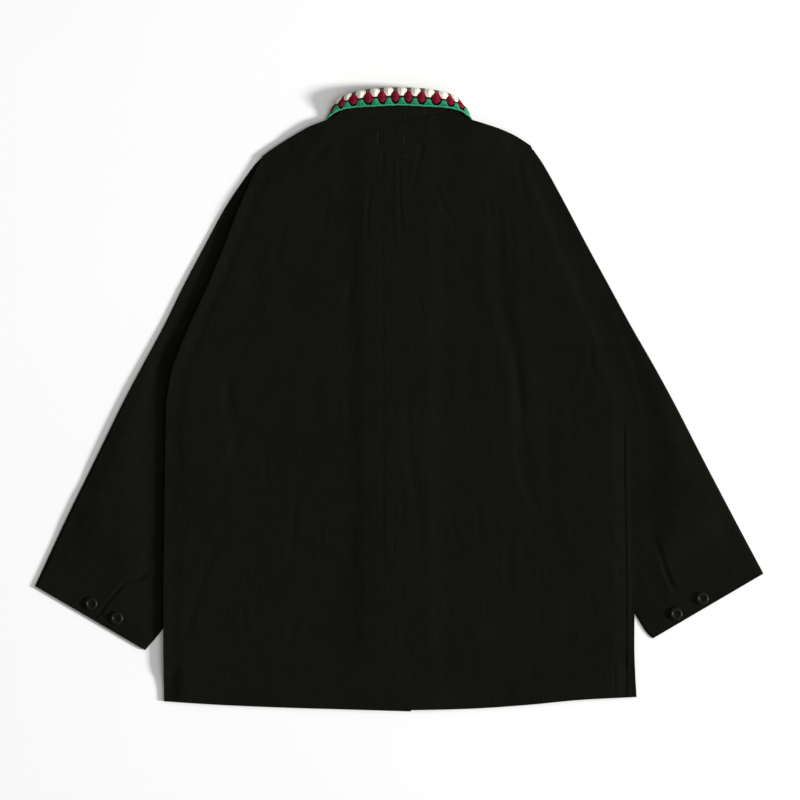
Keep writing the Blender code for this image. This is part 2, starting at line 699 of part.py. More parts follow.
def main():
    """Clears the scene and makes every piece."""
    for item in list(bpy.data.objects):
        bpy.data.objects.remove(item)
    bpy.context.scene.collection.children.link(COLLECTION)
    cotton = material("black_cotton", (0.007, 0.007, 0.005), 0.85)
    wool = material("crochet_yarn", (0.35, 0.08, 0.08), 0.9)
    plastic = material("button_plastic", (0.012, 0.012, 0.011), 0.35)
    section = make_collar_section()
    for side in ("left", "right"):
        make_back(side, section, cotton)
        make_sleeve(side, cotton)
        make_flap(side, cotton)
    make_front_left(cotton)
    make_front_right(cotton)
    make_crochet(section, wool)
    make_collar_base(section, cotton)
    make_buttons(plastic)


main()
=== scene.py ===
# A black cotton work jacket with a crocheted collar, laid flat on its front and seen from its back.
# Sizes are in millimetres and become metres where a mesh is made. +X is right, +Y is to the collar.
import math

import bmesh
import bpy
import numpy as np
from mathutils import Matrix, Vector


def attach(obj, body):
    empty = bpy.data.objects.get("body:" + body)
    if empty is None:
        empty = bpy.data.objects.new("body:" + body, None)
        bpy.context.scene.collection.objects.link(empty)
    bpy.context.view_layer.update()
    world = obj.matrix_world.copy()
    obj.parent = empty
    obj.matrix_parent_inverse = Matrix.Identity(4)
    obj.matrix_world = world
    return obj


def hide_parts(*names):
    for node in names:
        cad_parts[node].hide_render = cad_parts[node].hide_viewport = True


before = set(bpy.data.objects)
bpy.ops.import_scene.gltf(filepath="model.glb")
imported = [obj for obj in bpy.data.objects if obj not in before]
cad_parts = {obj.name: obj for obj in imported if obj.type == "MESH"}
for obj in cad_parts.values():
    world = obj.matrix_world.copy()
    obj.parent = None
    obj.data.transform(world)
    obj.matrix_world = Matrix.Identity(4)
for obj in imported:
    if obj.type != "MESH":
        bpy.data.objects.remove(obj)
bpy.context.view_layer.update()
bpy.ops.object.select_all(action="DESELECT")

mm = 0.001
sides = ("left", "right")
curveSteps = 8  # points on a curve for each point given


# Numbers and lines
def softStep(value, start, end):
    part = np.clip((value - start) / (end - start), 0, 1)
    return part * part * (3 - 2 * part)


def faded(shape, **values):
    # the product of the soft steps that the shape names, each read at its value
    product = 1
    for name, value in values.items():
        product = product * softStep(value, *shape[name])
    return product


def bell(distance, width):
    return np.exp(-(distance / width) ** 2)


def unit(vectors):
    return vectors / (np.linalg.norm(vectors, axis=-1, keepdims=True) + 1e-12)


def smoothMax(*values):
    return sum(np.maximum(value, 0) ** 5 for value in values) ** 0.2


def smoothLine(points):
    # a curve through the points, read by its share of the length
    spots = np.array(points, float)
    ends = np.vstack([spots[0] * 2 - spots[1], spots, spots[-1] * 2 - spots[-2]])
    line = [spots[0]]
    for before, start, end, after in zip(ends, ends[1:], ends[2:], ends[3:]):
        for step in range(1, curveSteps + 1):
            t = step / curveSteps
            bend = 2 * before - 5 * start + 4 * end - after
            twist = 3 * start - before - 3 * end + after
            line.append(0.5 * (2 * start + (end - before) * t + bend * t ** 2 + twist * t ** 3))
    line = np.array(line)
    reach = np.concatenate([[0], np.cumsum(np.linalg.norm(np.diff(line, axis=0), axis=1))])

    def at(share):
        goal = np.clip(share, 0, 1) * reach[-1]
        return np.stack([np.interp(goal, reach, line[:, axis]) for axis in range(line.shape[1])], axis=-1)

    at.length = reach[-1]
    return at


def joinedLine(first, second, share):
    def at(part):
        part = np.asarray(part, float)
        return np.where((part < share)[..., None], first(part / share), second((part - share) / (1 - share)))

    return at


def stretched(bottom, top, start, end):
    # a flat surface between four lines, read at u across and v up
    def at(u, v):
        a, b = u[..., None], v[..., None]
        sidesMixed = bottom(u) * (1 - b) + top(u) * b + start(v) * (1 - a) + end(v) * a
        low = bottom(np.zeros(1))[0] * (1 - a) + bottom(np.ones(1))[0] * a
        high = top(np.zeros(1))[0] * (1 - a) + top(np.ones(1))[0] * a
        return sidesMixed - low * (1 - b) - high * b

    return at


creaseForm = {
    "steps": 16, "room": 4, "waves": ((0.28, 9), (0.15, 23)), "fadeIn": (-0.02, 0.3), "fadeOut": (1.02, 0.65),
    "spread": (0.8, 0.4), "shoulder": 0.38, "shoulderPlace": 2, "shoulderWidth": 1.1,
}


def creaseRelief(creases, x, y):
    # each crease is a soft trough, or a ridge where its depth is negative, with low shoulders
    total = np.zeros_like(x)
    for path, width, depth in creases:
        line = smoothLine(path)
        spots = line(np.linspace(0, 1, creaseForm["steps"]))
        room = width * creaseForm["room"]
        near = (x > spots[:, 0].min() - room) & (x < spots[:, 0].max() + room)
        near &= (y > spots[:, 1].min() - room) & (y < spots[:, 1].max() + room)
        if not near.any():
            continue
        px, py = x[near], y[near]
        best = np.full(px.shape, 1e9)
        along = np.zeros(px.shape)
        for index in range(len(spots) - 1):
            start, run = spots[index], spots[index + 1] - spots[index]
            part = np.clip(((px - start[0]) * run[0] + (py - start[1]) * run[1]) / (run @ run), 0, 1)
            away = np.hypot(px - start[0] - run[0] * part, py - start[1] - run[1] * part)
            closer = away < best
            best = np.where(closer, away, best)
            along = np.where(closer, (index + part) / (len(spots) - 1), along)
        uneven = 1
        for (size, turns), start in zip(creaseForm["waves"], spots[0]):
            uneven = uneven + size * np.sin(along * turns + start)
        fade = faded(creaseForm, fadeIn=along, fadeOut=along) * uneven
        narrow, wider = creaseForm["spread"]
        spread = width * (narrow + wider * along)
        beside = bell(best - spread * creaseForm["shoulderPlace"], spread * creaseForm["shoulderWidth"])
        total[near] -= depth * fade * (bell(best, spread) - creaseForm["shoulder"] * beside)
    return total


# The cut of the body, from the photograph
bodyCut = {
    "left": {
        "hemCorner": (-322, -413),
        "sideXs": [-323, -323, -322, -321, -320, -319, -315, -309, -287, -262, -239, -218],
        "shoulderTip": (-187, 334),
        "shoulder": [(-166, 349), (-129, 371), (-113, 378), (-101, 382.5), (-92, 385.5), (-84, 391)],
        "neckPoint": (-75.5, 401),
        "neckPlaces": [-84, -66, -52, -39, -27],
        "frontNeck": [(-64, 372), (-50, 347), (-30, 329), (-8, 320)],
        "backHem": [(-243, -418), (-147, -422), (-51, -424.5)],
        "frontEdgeX": 16.0,
        "frontHemY": -427.0,
    },
    "right": {
        "hemCorner": (325, -407),
        "sideXs": [322, 322, 321, 320, 319, 317, 312, 304, 283, 260, 235, 217],
        "shoulderTip": (180, 348),
        "shoulder": [(159, 361.5), (138, 371), (117, 378), (102, 382.5), (92, 385.5), (84, 391)],
        "neckPoint": (75.5, 401),
        "neckPlaces": [84, 66, 52, 39, 26, 12, 0, -8],
        "frontNeck": [(65, 372), (51, 347), (31, 329), (8, 320)],
        "backHem": [(248, -411), (174, -418), (100, -423), (22, -425)],
        "frontEdgeX": -25.0,
        "frontHemY": -425.0,
    },
}
sideYs = [-350, -274, -199, -117, -62, -7, 20, 48, 102, 157, 212, 267]
centreBack = {
    "x": -12.7, "neckPlace": -16, "neckRise": 0.3, "hemY": -425.0, "frontNeckY": 319.0, "buttonLine": -4.5,
}
armhole = {"underarmY": 20.0, "inset": 14.0, "gap": 0.7, "bodyRows": 26, "sleeveRows": 10}
heights = {
    "wall": 1.2, "gap": 0.4, "centreLift": 3.3, "neckLift": 3.3, "turnLift": 1.8, "sleeveLift": 3.0,
    "placketStep": 1.6, "armholeLift": 1.8, "swell": 6.4, "sleeveFlat": 2.7, "sleevePuff": 3.0,
}
# where the cloth starts and ends to rise over what lies under it
liftForm = {
    "sleeve": (80, 42), "sleeveEnds": (-330, 30), "sleeveEndSlope": 1.2, "closure": (78, 40),
    "closureFoot": (-385, -310), "neckY": 392, "neck": (178, 138), "turnSpot": (92, 380), "turn": (46, 14),
    "placket": (76, 40), "lap": (-84, -47), "armhole": (70, 40), "armholeFoot": (-40, 5),
}
# the back's soft edges, and how far it stands off the left sleeve and the right one
backForm = {
    "shoulderSpot": (68, 398), "shoulderSlope": 0.52, "shoulderShare": 0.86, "swellSide": (-4, 30),
    "swellHem": (-425, -370), "hemShare": 0.45, "swellShoulder": (-6, 45), "creaseSide": (3, 26),
    "creaseHem": (-428, -400), "creaseShoulder": (-2, 26), "creaseLift": 1.3, "leastLift": 0.95,
    "stand": (4.2, 0.9), "standTop": (335, 250), "standFull": (-40, 90), "standShare": 0.34,
    "standHem": (-425, -330), "rollWidth": 16, "neckX": (104, 74), "neckY": (340, 381), "neckLift": 1.25,
}
sleeveForm = {
    "puffSide": (22, 62), "puffCuff": (62, 110), "puffFold": (0, 34), "foldShare": 0.35,
    "creaseSide": (8, 22), "creaseCuff": (0, 12), "tuck": (14, 4), "tuckDepth": 0.5,
    "rise": (14, 40), "riseHeight": 0.9, "leastTop": 1.9,
}

# The cut of the sleeves: the outer fold, then the inner one
sleeveCut = {
    "left": {
        "cuffOuter": (-498.8, -255), "cuffInner": (-348, -343), "top": (-189, 331),
        "outerXs": [-457, -417, -380, -351, -322, -295, -266, -236, -201],
        "innerXs": [-323, -296, -276, -266, -266, -276, -293],
    },
    "right": {
        "cuffOuter": (498.8, -238), "cuffInner": (347, -327), "top": (184, 342),
        "outerXs": [460, 417, 378, 348, 317, 287, 257, 228, 200],
        "innerXs": [334, 306, 281, 268, 266, 276, 292],
    },
}
outerYs = [-165, -83, -7, 48, 102, 157, 212, 267, 318]
innerYs = [-312, -262, -205, -150, -90, -40, -5]

# creases, each as its path, its width and its depth; a ridge has a depth below zero
backCreases = [
    ([(1, 344), (0, 300), (1, 262), (4, 215)], 2.3, 0.75),
    ([(-22, 351), (-23, 330), (-24, 306)], 2.2, 0.5),
    ([(31, 356), (26, 322), (17, 286)], 3.0, 0.6),
    ([(22, 150), (29, 128), (38, 106)], 2.6, 0.5),
    ([(-40, 300), (-43, 260), (-45, 198)], 2.8, 0.7),
    ([(-60, 196), (-68, 150), (-77, 96)], 5.6, 0.42),
    ([(133, 290), (137, 205), (143, 123), (156, 68), (168, 0)], 9.3, 1.06),
    ([(150, 100), (162, 30), (169, -69), (180, -124), (188, -165)], 7.4, 1.0),
    ([(158, -40), (165, -90), (176, -126), (204, -172)], 4.3, 0.42),
    ([(11, 40), (12, -69), (23, -126), (28, -183), (28, -240)], 5.6, 0.58),
    ([(48, 304), (62, 262), (88, 212)], 3.4, 0.6),
    ([(-84, 366), (-104, 345), (-133, 311)], 6.2, 0.58),
    ([(-140, -125), (-145, -170), (-151, -226)], 5.0, 0.53),
    ([(-250, -190), (-272, -252), (-288, -310), (-292, -352)], 6.2, 0.63),
    ([(-233, 76), (-233, -14), (-220, -69), (-218, -168)], 8.1, 0.63),
    ([(-216, -24), (-229, -77), (-256, -166)], 6.8, 0.47),
    ([(279, -152), (291, -199), (301, -226), (305, -284)], 5.0, 0.47),
    ([(148, -190), (149, -233), (156, -290)], 5.0, 0.42),
    ([(259, 100), (259, 41), (243, -16)], 5.6, 0.53),
    ([(262, 84), (268, 32), (297, -12)], 4.3, 0.37),
    ([(26, 336), (20, 290)], 3.2, 0.23),
    ([(165, 332), (167, 296), (171, 262)], 4.3, 0.42),
    ([(158, 350), (160, 322), (157, 294)], 7.4, 0.53),
    ([(184, 320), (194, 280), (205, 232)], 5.6, 0.42),
    ([(129, -49), (140, -84)], 3.7, 0.23),
    ([(67, -158), (78, -186), (88, -220)], 3.7, 0.37),
    ([(60, -256), (68, -288), (79, -318)], 4.3, 0.32),
    ([(-92, -258), (-125, -288), (-148, -315), (-154, -344)], 5.6, 0.37),
    ([(236, 6), (235, -30), (237, -70)], 5.6, 0.37),
    ([(-300, -60), (-296, -150), (-302, -240)], 5.6, 0.37),
    ([(-180, 240), (-196, 180), (-204, 110)], 9.9, 0.42),
    ([(-110, 60), (-118, -20), (-112, -90)], 9.3, 0.37),
    ([(90, 120), (96, 40), (90, -40)], 8.7, 0.37),
    ([(-50, -210), (-56, -300), (-50, -370)], 8.1, 0.32),
    ([(225, -230), (232, -300), (228, -370)], 7.4, 0.32),
    ([(108, 300), (112, 205), (118, 100)], 8.1, -0.47),
    ([(163, 265), (164, 180), (162, 98)], 5.0, -0.42),
    ([(196, -34), (195, -80), (197, -122)], 5.6, -0.37),
    ([(166, -140), (163, -200), (165, -276)], 5.6, -0.32),
    ([(-255, 170), (-285, 100), (-305, 30)], 7.4, -0.42),
    ([(1, 320), (2, 160), (1, -20), (3, -200), (1, -370)], 3.7, 0.22),
    ([(-23, 300), (-24, 120), (-23, -60), (-24, -240), (-23, -380)], 3.2, 0.26),
    ([(121, 284), (126, 240), (129, 196)], 3.0, 0.25),
    ([(150, 262), (152, 214), (149, 176)], 3.0, 0.25),
    ([(176, 222), (180, 170), (178, 128)], 3.5, 0.25),
    ([(128, 92), (132, 44), (128, 6)], 3.0, 0.22),
    ([(196, 60), (203, 12), (200, -40)], 3.5, 0.25),
    ([(-12, 232), (-30, 190), (-36, 140)], 3.5, 0.25),
    ([(28, 236), (38, 196), (40, 150)], 3.5, 0.25),
    ([(-96, 288), (-104, 240), (-118, 196)], 4.0, 0.25),
    ([(-150, 262), (-164, 214), (-172, 170)], 4.0, 0.25),
    ([(-66, 40), (-70, -14), (-64, -64)], 3.5, 0.22),
    ([(-180, -30), (-184, -92), (-176, -140)], 4.0, 0.25),
    ([(-104, -140), (-108, -196), (-100, -246)], 3.5, 0.22),
    ([(46, -104), (52, -150), (46, -200)], 3.5, 0.22),
    ([(104, -118), (110, -180), (106, -232)], 3.5, 0.25),
    ([(120, -262), (118, -318), (124, -366)], 3.5, 0.22),
    ([(252, -70), (258, -124), (254, -176)], 3.5, 0.25),
    ([(-206, -226), (-214, -284), (-210, -340)], 4.0, 0.25),
    ([(190, -216), (196, -270), (190, -322)], 3.5, 0.22),
    ([(-28, -120), (-32, -178), (-28, -236)], 3.5, 0.22),
    ([(266, -206), (262, -262), (268, -316)], 3.5, 0.22),
]
frontCreases = [
    ([(-150, 150), (-165, 20), (-150, -120)], 15, -0.5),
    ([(160, 120), (150, -20), (168, -180)], 15, -0.5),
    ([(-190, -160), (-180, -280), (-200, -360)], 13, -0.4),
    ([(190, -200), (200, -290), (186, -370)], 13, -0.4),
]
sleeveCreases = [
    ([(-414, -299), (-396, -275), (-378, -253)], 2.6, 0.8),
    ([(-388, -264), (-374, -250), (-354, -243), (-338, -230)], 2.8, 1.7),
    ([(-332, -184), (-342, -205), (-353, -228)], 6, 0.7),
    ([(-420, -80), (-436, -150), (-452, -215)], 14, 0.8),
    ([(-350, 20), (-384, -60), (-404, -130)], 14, -0.7),
    ([(-300, 110), (-330, 40), (-352, -30)], 10, 0.6),
    ([(348, -180), (356, -207), (369, -246), (378, -261), (390, -272)], 2.8, 1.15),
    ([(331, -166), (345, -190), (354, -212), (368, -244)], 7, 0.5),
    ([(322, -226), (326, -238), (331, -250)], 4, 0.5),
    ([(336, -243), (346, -240), (363, -243)], 3, 0.35),
    ([(222, 278), (232, 252), (244, 218)], 8, 0.8),
    ([(415, -90), (440, -150), (450, -210)], 14, 0.7),
    ([(340, 40), (372, -30), (398, -110)], 13, -0.7),
    ([(300, 100), (316, 40), (330, -40)], 10, 0.7),
]


def bySide(x, left, right):
    return np.where(x < 0, left, right)


def bodyEdge(x, y):
    # distance of the body's side from the middle, on the side that x is on
    found = []
    for side in sides:
        cut = bodyCut[side]
        ys = sideYs + [cut["shoulderTip"][1]]
        xs = [abs(value) for value in cut["sideXs"]] + [abs(cut["shoulderTip"][0])]
        found.append(np.interp(y, ys, xs))
    return bySide(x, *found)


def underSleeve(x, y):
    inner = bySide(x, *[np.interp(y, innerYs, np.abs(sleeveCut[side]["innerXs"])) for side in sides])
    low, high = liftForm["sleeveEnds"]
    for past in (y - high, low - y):
        inner = inner + liftForm["sleeveEndSlope"] * np.maximum(0, past)
    start, end = liftForm["sleeve"]
    return softStep(np.abs(x), inner - start, inner - end)


def frontLift(x, y):
    fromButtons = np.abs(x - centreBack["buttonLine"])
    closure = faded(liftForm, closure=fromButtons, closureFoot=y)
    neck = heights["neckLift"] * faded(liftForm, neck=np.hypot(x, y - liftForm["neckY"]))
    turnX, turnY = liftForm["turnSpot"]
    neck = neck + heights["turnLift"] * faded(liftForm, turn=np.hypot(np.abs(x) - turnX, y - turnY))
    return smoothMax(heights["centreLift"] * closure, neck, heights["sleeveLift"] * underSleeve(x, y))


def placketStep(x):
    return heights["placketStep"] * faded(liftForm, placket=x)


def backFloor(x, y):
    inside = bodyEdge(x, y) - np.abs(x)
    overArmhole = faded(liftForm, armhole=inside, armholeFoot=y)
    step = placketStep(x) * faded(liftForm, lap=x)
    lift = smoothMax(frontLift(x, y), heights["armholeLift"] * overArmhole)
    return heights["wall"] + heights["gap"] + step + lift


def backTop(x, y):
    inside = bodyEdge(x, y) - np.abs(x)
    shoulderX, shoulderY = backForm["shoulderSpot"]
    fall = shoulderY - y - backForm["shoulderSlope"] * (np.abs(x) - shoulderX)
    fromShoulder = backForm["shoulderShare"] * fall
    aboveHem = backForm["hemShare"] + (1 - backForm["hemShare"]) * faded(backForm, swellHem=y)
    window = aboveHem * faded(backForm, swellSide=inside, swellShoulder=fromShoulder)
    floor = backFloor(x, y)
    base = smoothMax(floor + heights["wall"], heights["swell"] * window)
    inner = faded(backForm, creaseSide=inside, creaseHem=y, creaseShoulder=fromShoulder)
    creased = base + (backForm["creaseLift"] + creaseRelief(backCreases, x, y)) * inner
    # the sides stand off the sleeves that they lie over
    overSleeve = backForm["standShare"] + (1 - backForm["standShare"]) * faded(backForm, standFull=y)
    stand = bySide(x, *backForm["stand"]) * overSleeve * faded(backForm, standTop=y, standHem=y)
    roll = stand * bell(np.maximum(inside, 0), backForm["rollWidth"])
    top = smoothMax(floor + backForm["leastLift"], creased) + roll
    # along the neck it comes down to the collar's stand
    nearNeck = faded(backForm, neckX=np.abs(x), neckY=y)
    return top + (floor + backForm["neckLift"] - top) * nearNeck


def sleeveTop(x, y):
    outside = np.abs(x) - bodyEdge(x, y)
    fromCuff = np.zeros_like(x)
    outer = np.zeros_like(x)
    for side in sides:
        cut = sleeveCut[side]
        start, end = np.array(cut["cuffOuter"], float), np.array(cut["cuffInner"], float)
        along = unit(end - start)
        here = (x < 0) == (side == "left")
        fromCuff = np.where(here, np.abs(along[0] * (y - start[1]) - along[1] * (x - start[0])), fromCuff)
        outer = np.where(here, np.interp(y, outerYs, np.abs(cut["outerXs"])) - np.abs(x), outer)
    atFold = sleeveForm["foldShare"]
    offFold = atFold + (1 - atFold) * faded(sleeveForm, puffFold=outer)
    puff = faded(sleeveForm, puffSide=outside, puffCuff=fromCuff) * offFold
    relief = creaseRelief(sleeveCreases, x, y) * faded(sleeveForm, creaseSide=outside, creaseCuff=fromCuff)
    flat = heights["sleeveFlat"] - sleeveForm["tuckDepth"] * faded(sleeveForm, tuck=outside)
    rise = sleeveForm["riseHeight"] * faded(sleeveForm, rise=outside)
    return np.maximum(flat + heights["sleevePuff"] * puff + rise + relief, sleeveForm["leastTop"])


# Making cloth
def linkedObject(name, data):
    made = bpy.data.objects.new(name, data)
    bpy.context.scene.collection.objects.link(made)
    return made


def finishPiece(piece, material, node=None):
    piece.data.materials.clear()
    piece.data.materials.append(material)
    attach(piece, "root")
    if node:
        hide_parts(node)
    return piece


def makeCloth(name, shape, place, turnedOver=False, mergeSeam=False):
    # a grid laid to the place function's millimetres, with the weave's direction in its UV map
    # and a wall added inside
    bpy.ops.object.select_all(action="DESELECT")
    bpy.ops.mesh.primitive_grid_add(
        x_subdivisions=shape["columns"], y_subdivisions=shape["rows"], size=1, calc_uvs=False
    )
    cloth = bpy.context.object
    cloth.name = cloth.data.name = name
    count = len(cloth.data.vertices)
    flat = np.zeros(count * 3)
    cloth.data.vertices.foreach_get("co", flat)
    flat = flat.reshape(-1, 3) + 0.5
    laid, weave = place(flat[:, 0], flat[:, 1])
    cloth.data.vertices.foreach_set("co", (laid * mm).ravel())
    uvMap = cloth.data.uv_layers.new(name="weave")
    loopVerts = np.zeros(len(cloth.data.loops), int)
    cloth.data.loops.foreach_get("vertex_index", loopVerts)
    uvMap.data.foreach_set("uv", (weave * mm)[loopVerts].ravel())
    cloth.data.update()
    if turnedOver:
        cloth.data.flip_normals()
    if mergeSeam:
        mesh = bmesh.new()
        mesh.from_mesh(cloth.data)
        bmesh.ops.remove_doubles(mesh, verts=mesh.verts, dist=0.00002)
        mesh.to_mesh(cloth.data)
        mesh.free()
    wall = cloth.modifiers.new("wall", "SOLIDIFY")
    wall.thickness = shape["thickness"] * mm
    wall.offset = -1
    bpy.ops.object.modifier_apply(modifier="wall")
    bpy.ops.object.shade_smooth_by_angle(angle=math.radians(50))
    return cloth


def tubesMesh(name, tubes):
    # many round strands in one mesh; each is its points, its radii and its number of sides, in millimetres
    groups = {}
    for points, radii, ringSides in tubes:
        points = np.asarray(points, float)
        member = (points, np.broadcast_to(radii, (len(points),)))
        groups.setdefault((len(points), ringSides), []).append(member)
    verts, faces, uvs, base = [], [], [], 0
    for (length, ringSides), members in groups.items():
        spots = np.stack([points for points, radii in members])
        thick = np.stack([radii for points, radii in members])
        count = len(members)
        ahead = unit(np.gradient(spots, axis=1))
        guide = np.where(np.abs(ahead[:, :1, 2]) < 0.9, np.array([0.0, 0.0, 1.0]), np.array([1.0, 0.0, 0.0]))
        angles = np.linspace(0, 2 * math.pi, ringSides, endpoint=False)[:, None]
        rings = np.empty((count, length, ringSides, 3))
        for index in range(length):
            across = unit(np.cross(ahead[:, index], guide))
            guide = np.cross(across, ahead[:, index])
            wheel = np.cos(angles) * across[:, None] + np.sin(angles) * guide[:, None]
            rings[:, index] = spots[:, index, None] + thick[:, index, None, None] * wheel
        verts.append(rings.reshape(-1, 3))
        step = np.arange(ringSides)
        after = (step + 1) % ringSides
        first = base + np.arange(count)[:, None, None] * length * ringSides
        low = first + np.arange(length - 1)[None, :, None] * ringSides
        quads = np.stack([low + step, low + after, low + ringSides + after, low + ringSides + step], axis=-1)
        caps = np.stack([first[:, 0] + step[::-1], first[:, 0] + (length - 1) * ringSides + step], axis=1)
        faces += quads.reshape(-1, 4).tolist() + caps.reshape(-1, ringSides).tolist()
        walked = np.linalg.norm(np.diff(spots, axis=1), axis=-1)
        reach = np.concatenate([np.zeros((count, 1)), np.cumsum(walked, axis=1)], axis=1)
        quadUvs = np.empty(quads.shape + (2,))
        for corner, (turn, ahead01) in enumerate(((0, 0), (1, 0), (1, 1), (0, 1))):
            quadUvs[..., corner, 0] = (step + turn) / ringSides
            quadUvs[..., corner, 1] = reach[:, ahead01:length - 1 + ahead01, None]
        capUvs = np.full(caps.shape + (2,), 0.5)
        capUvs[:, 0, :, 1] = reach[:, :1]
        capUvs[:, 1, :, 1] = reach[:, -1:]
        uvs += [quadUvs.reshape(-1, 2), capUvs.reshape(-1, 2)]
        base += count * length * ringSides
    data = bpy.data.meshes.new(name)
    data.from_pydata((np.concatenate(verts) * mm).tolist(), [], faces)
    uvMap = data.uv_layers.new(name="strand")
    uvMap.data.foreach_set("uv", np.concatenate(uvs).ravel())
    piece = linkedObject(name, data)
    bpy.ops.object.select_all(action="DESELECT")
    piece.select_set(True)
    bpy.context.view_layer.objects.active = piece
    bpy.ops.object.shade_smooth_by_angle(angle=math.radians(60))
    return piece


# Shader groups
def newGroup(name, inputs, outputs):
    group = bpy.data.node_groups.new(name, "ShaderNodeTree")
    for label, kind, value in inputs:
        socket = group.interface.new_socket(label, in_out="INPUT", socket_type=kind)
        if value is not None:
            socket.default_value = value
    for label, kind in outputs:
        group.interface.new_socket(label, in_out="OUTPUT", socket_type=kind)
    return group, group.nodes.new("NodeGroupInput"), group.nodes.new("NodeGroupOutput")


def addNode(tree, kind, **settings):
    node = tree.nodes.new(kind)
    for key, value in settings.items():
        setattr(node, key, value)
    return node


def mathNode(tree, operation, first, second=None, third=None):
    node = addNode(tree, "ShaderNodeMath", operation=operation)
    for index, value in enumerate((first, second, third)):
        if value is None:
            continue
        if isinstance(value, (int, float)):
            node.inputs[index].default_value = value
        else:
            tree.links.new(value, node.inputs[index])
    return node.outputs[0]


def timesPlus(tree, first, second, third):
    return mathNode(tree, "MULTIPLY_ADD", first, second, third)


def mixedIn(tree, noise, amount, shade):
    # the shade with more or less light where the noise is above or below its middle
    return timesPlus(tree, mathNode(tree, "SUBTRACT", noise, 0.5), amount, shade)


def noiseNode(tree, vector, scale, detail=3.0, roughness=0.55):
    node = addNode(tree, "ShaderNodeTexNoise")
    tree.links.new(vector, node.inputs["Vector"])
    node.inputs["Scale"].default_value = scale
    node.inputs["Detail"].default_value = detail
    node.inputs["Roughness"].default_value = roughness
    return node.outputs[0]


def stretchedNoise(tree, vector, scale, detail=2.0, roughness=0.55):
    node = addNode(tree, "ShaderNodeMapping")
    tree.links.new(vector, node.inputs["Vector"])
    node.inputs["Scale"].default_value = scale
    return noiseNode(tree, node.outputs[0], 1.0, detail, roughness)


# noises: stretch along the weave or scale in place; shades and heights: how much of each goes in
weaveLook = {
    "threads": 1500.0, "slub": (900, 36, 1), "weft": (40, 700, 1), "crumple": (46, 8, 1),
    "wrinkle": (150, 20, 1), "patches": 9.0, "wash": 55.0, "grain": 900.0,
    "shades": (0.75, 0.3, 0.5, 0.45, 1.3), "crossingHeight": 0.35, "slubHeight": 0.6,
    "weftHeight": 0.3, "crumpleHeight": 4.0, "wrinkleHeight": 2.6,
}


def buildWeaveGroup():
    # plain weave with slubs along the warp, washed patches, and the height of the threads
    group, given, made = newGroup(
        "plainWeave",
        [("Weave", "NodeSocketVector", None), ("Place", "NodeSocketVector", None)],
        [("Shade", "NodeSocketFloat"), ("Height", "NodeSocketFloat"), ("Fuzz", "NodeSocketFloat")],
    )
    parts = addNode(group, "ShaderNodeSeparateXYZ")
    group.links.new(given.outputs["Weave"], parts.inputs[0])
    waves = []
    for axis in (0, 1):
        turns = mathNode(group, "MULTIPLY", parts.outputs[axis], weaveLook["threads"])
        waves.append(mathNode(group, "SINE", mathNode(group, "MULTIPLY", turns, math.pi)))
    crossing = mathNode(group, "MULTIPLY", waves[0], waves[1])
    slub = stretchedNoise(group, given.outputs["Weave"], weaveLook["slub"])
    weft = stretchedNoise(group, given.outputs["Weave"], weaveLook["weft"])
    patches = noiseNode(group, given.outputs["Place"], weaveLook["patches"], 4.0, 0.6)
    wash = noiseNode(group, given.outputs["Place"], weaveLook["wash"], 4.0, 0.65)
    grainNoise = noiseNode(group, given.outputs["Place"], weaveLook["grain"], 2.0, 0.7)
    shade = 1.0
    for noise, amount in zip((slub, weft, patches, wash, grainNoise), weaveLook["shades"]):
        shade = mixedIn(group, noise, amount, shade)
    height = mathNode(group, "MULTIPLY", slub, weaveLook["slubHeight"])
    height = timesPlus(group, crossing, weaveLook["crossingHeight"], height)
    height = timesPlus(group, weft, weaveLook["weftHeight"], height)
    crumple = stretchedNoise(group, given.outputs["Weave"], weaveLook["crumple"], 2.0, 0.5)
    height = timesPlus(group, crumple, weaveLook["crumpleHeight"], height)
    wrinkle = stretchedNoise(group, given.outputs["Weave"], weaveLook["wrinkle"], 3.0, 0.6)
    height = timesPlus(group, wrinkle, weaveLook["wrinkleHeight"], height)
    group.links.new(shade, made.inputs["Shade"])
    group.links.new(height, made.inputs["Height"])
    group.links.new(grainNoise, made.inputs["Fuzz"])
    return group


def buildStrandGroup():
    # two plies twisted round each other, with loose fibres; the colour is darkened in the grooves where the
    # plies meet, which is painted shade
    group, given, made = newGroup(
        "twistedPlies",
        [
            ("Strand", "NodeSocketVector", None), ("Place", "NodeSocketVector", None),
            ("Twist", "NodeSocketFloat", 0.42), ("Plies", "NodeSocketFloat", 2.0),
        ],
        [("Shade", "NodeSocketFloat"), ("Height", "NodeSocketFloat")],
    )
    parts = addNode(group, "ShaderNodeSeparateXYZ")
    group.links.new(given.outputs["Strand"], parts.inputs[0])
    turn = mathNode(group, "MULTIPLY", parts.outputs[0], given.outputs["Plies"])
    turn = timesPlus(group, parts.outputs[1], given.outputs["Twist"], turn)
    wave = mathNode(group, "ABSOLUTE", mathNode(group, "SINE", mathNode(group, "MULTIPLY", turn, math.pi)))
    fibres = noiseNode(group, given.outputs["Place"], 2600.0, 2.0, 0.7)
    mottle = noiseNode(group, given.outputs["Place"], 220.0, 3.0, 0.6)
    # painted shade: the colour is darker in the grooves between the plies
    shade = timesPlus(group, wave, 0.5, 0.62)
    shade = mixedIn(group, mottle, 0.5, shade)
    shade = mixedIn(group, fibres, 0.35, shade)
    height = timesPlus(group, fibres, 0.35, wave)
    group.links.new(shade, made.inputs["Shade"])
    group.links.new(height, made.inputs["Height"])
    return group


weaveGroup = buildWeaveGroup()
strandGroup = buildStrandGroup()


def newMaterial(name, roughness, specular, sheen=0.0):
    material = bpy.data.materials.new(name)
    material.use_nodes = True
    shader = material.node_tree.nodes["Principled BSDF"]
    shader.inputs["Roughness"].default_value = roughness
    shader.inputs["Specular IOR Level"].default_value = specular
    shader.inputs["Sheen Weight"].default_value = sheen
    return material, material.node_tree, shader


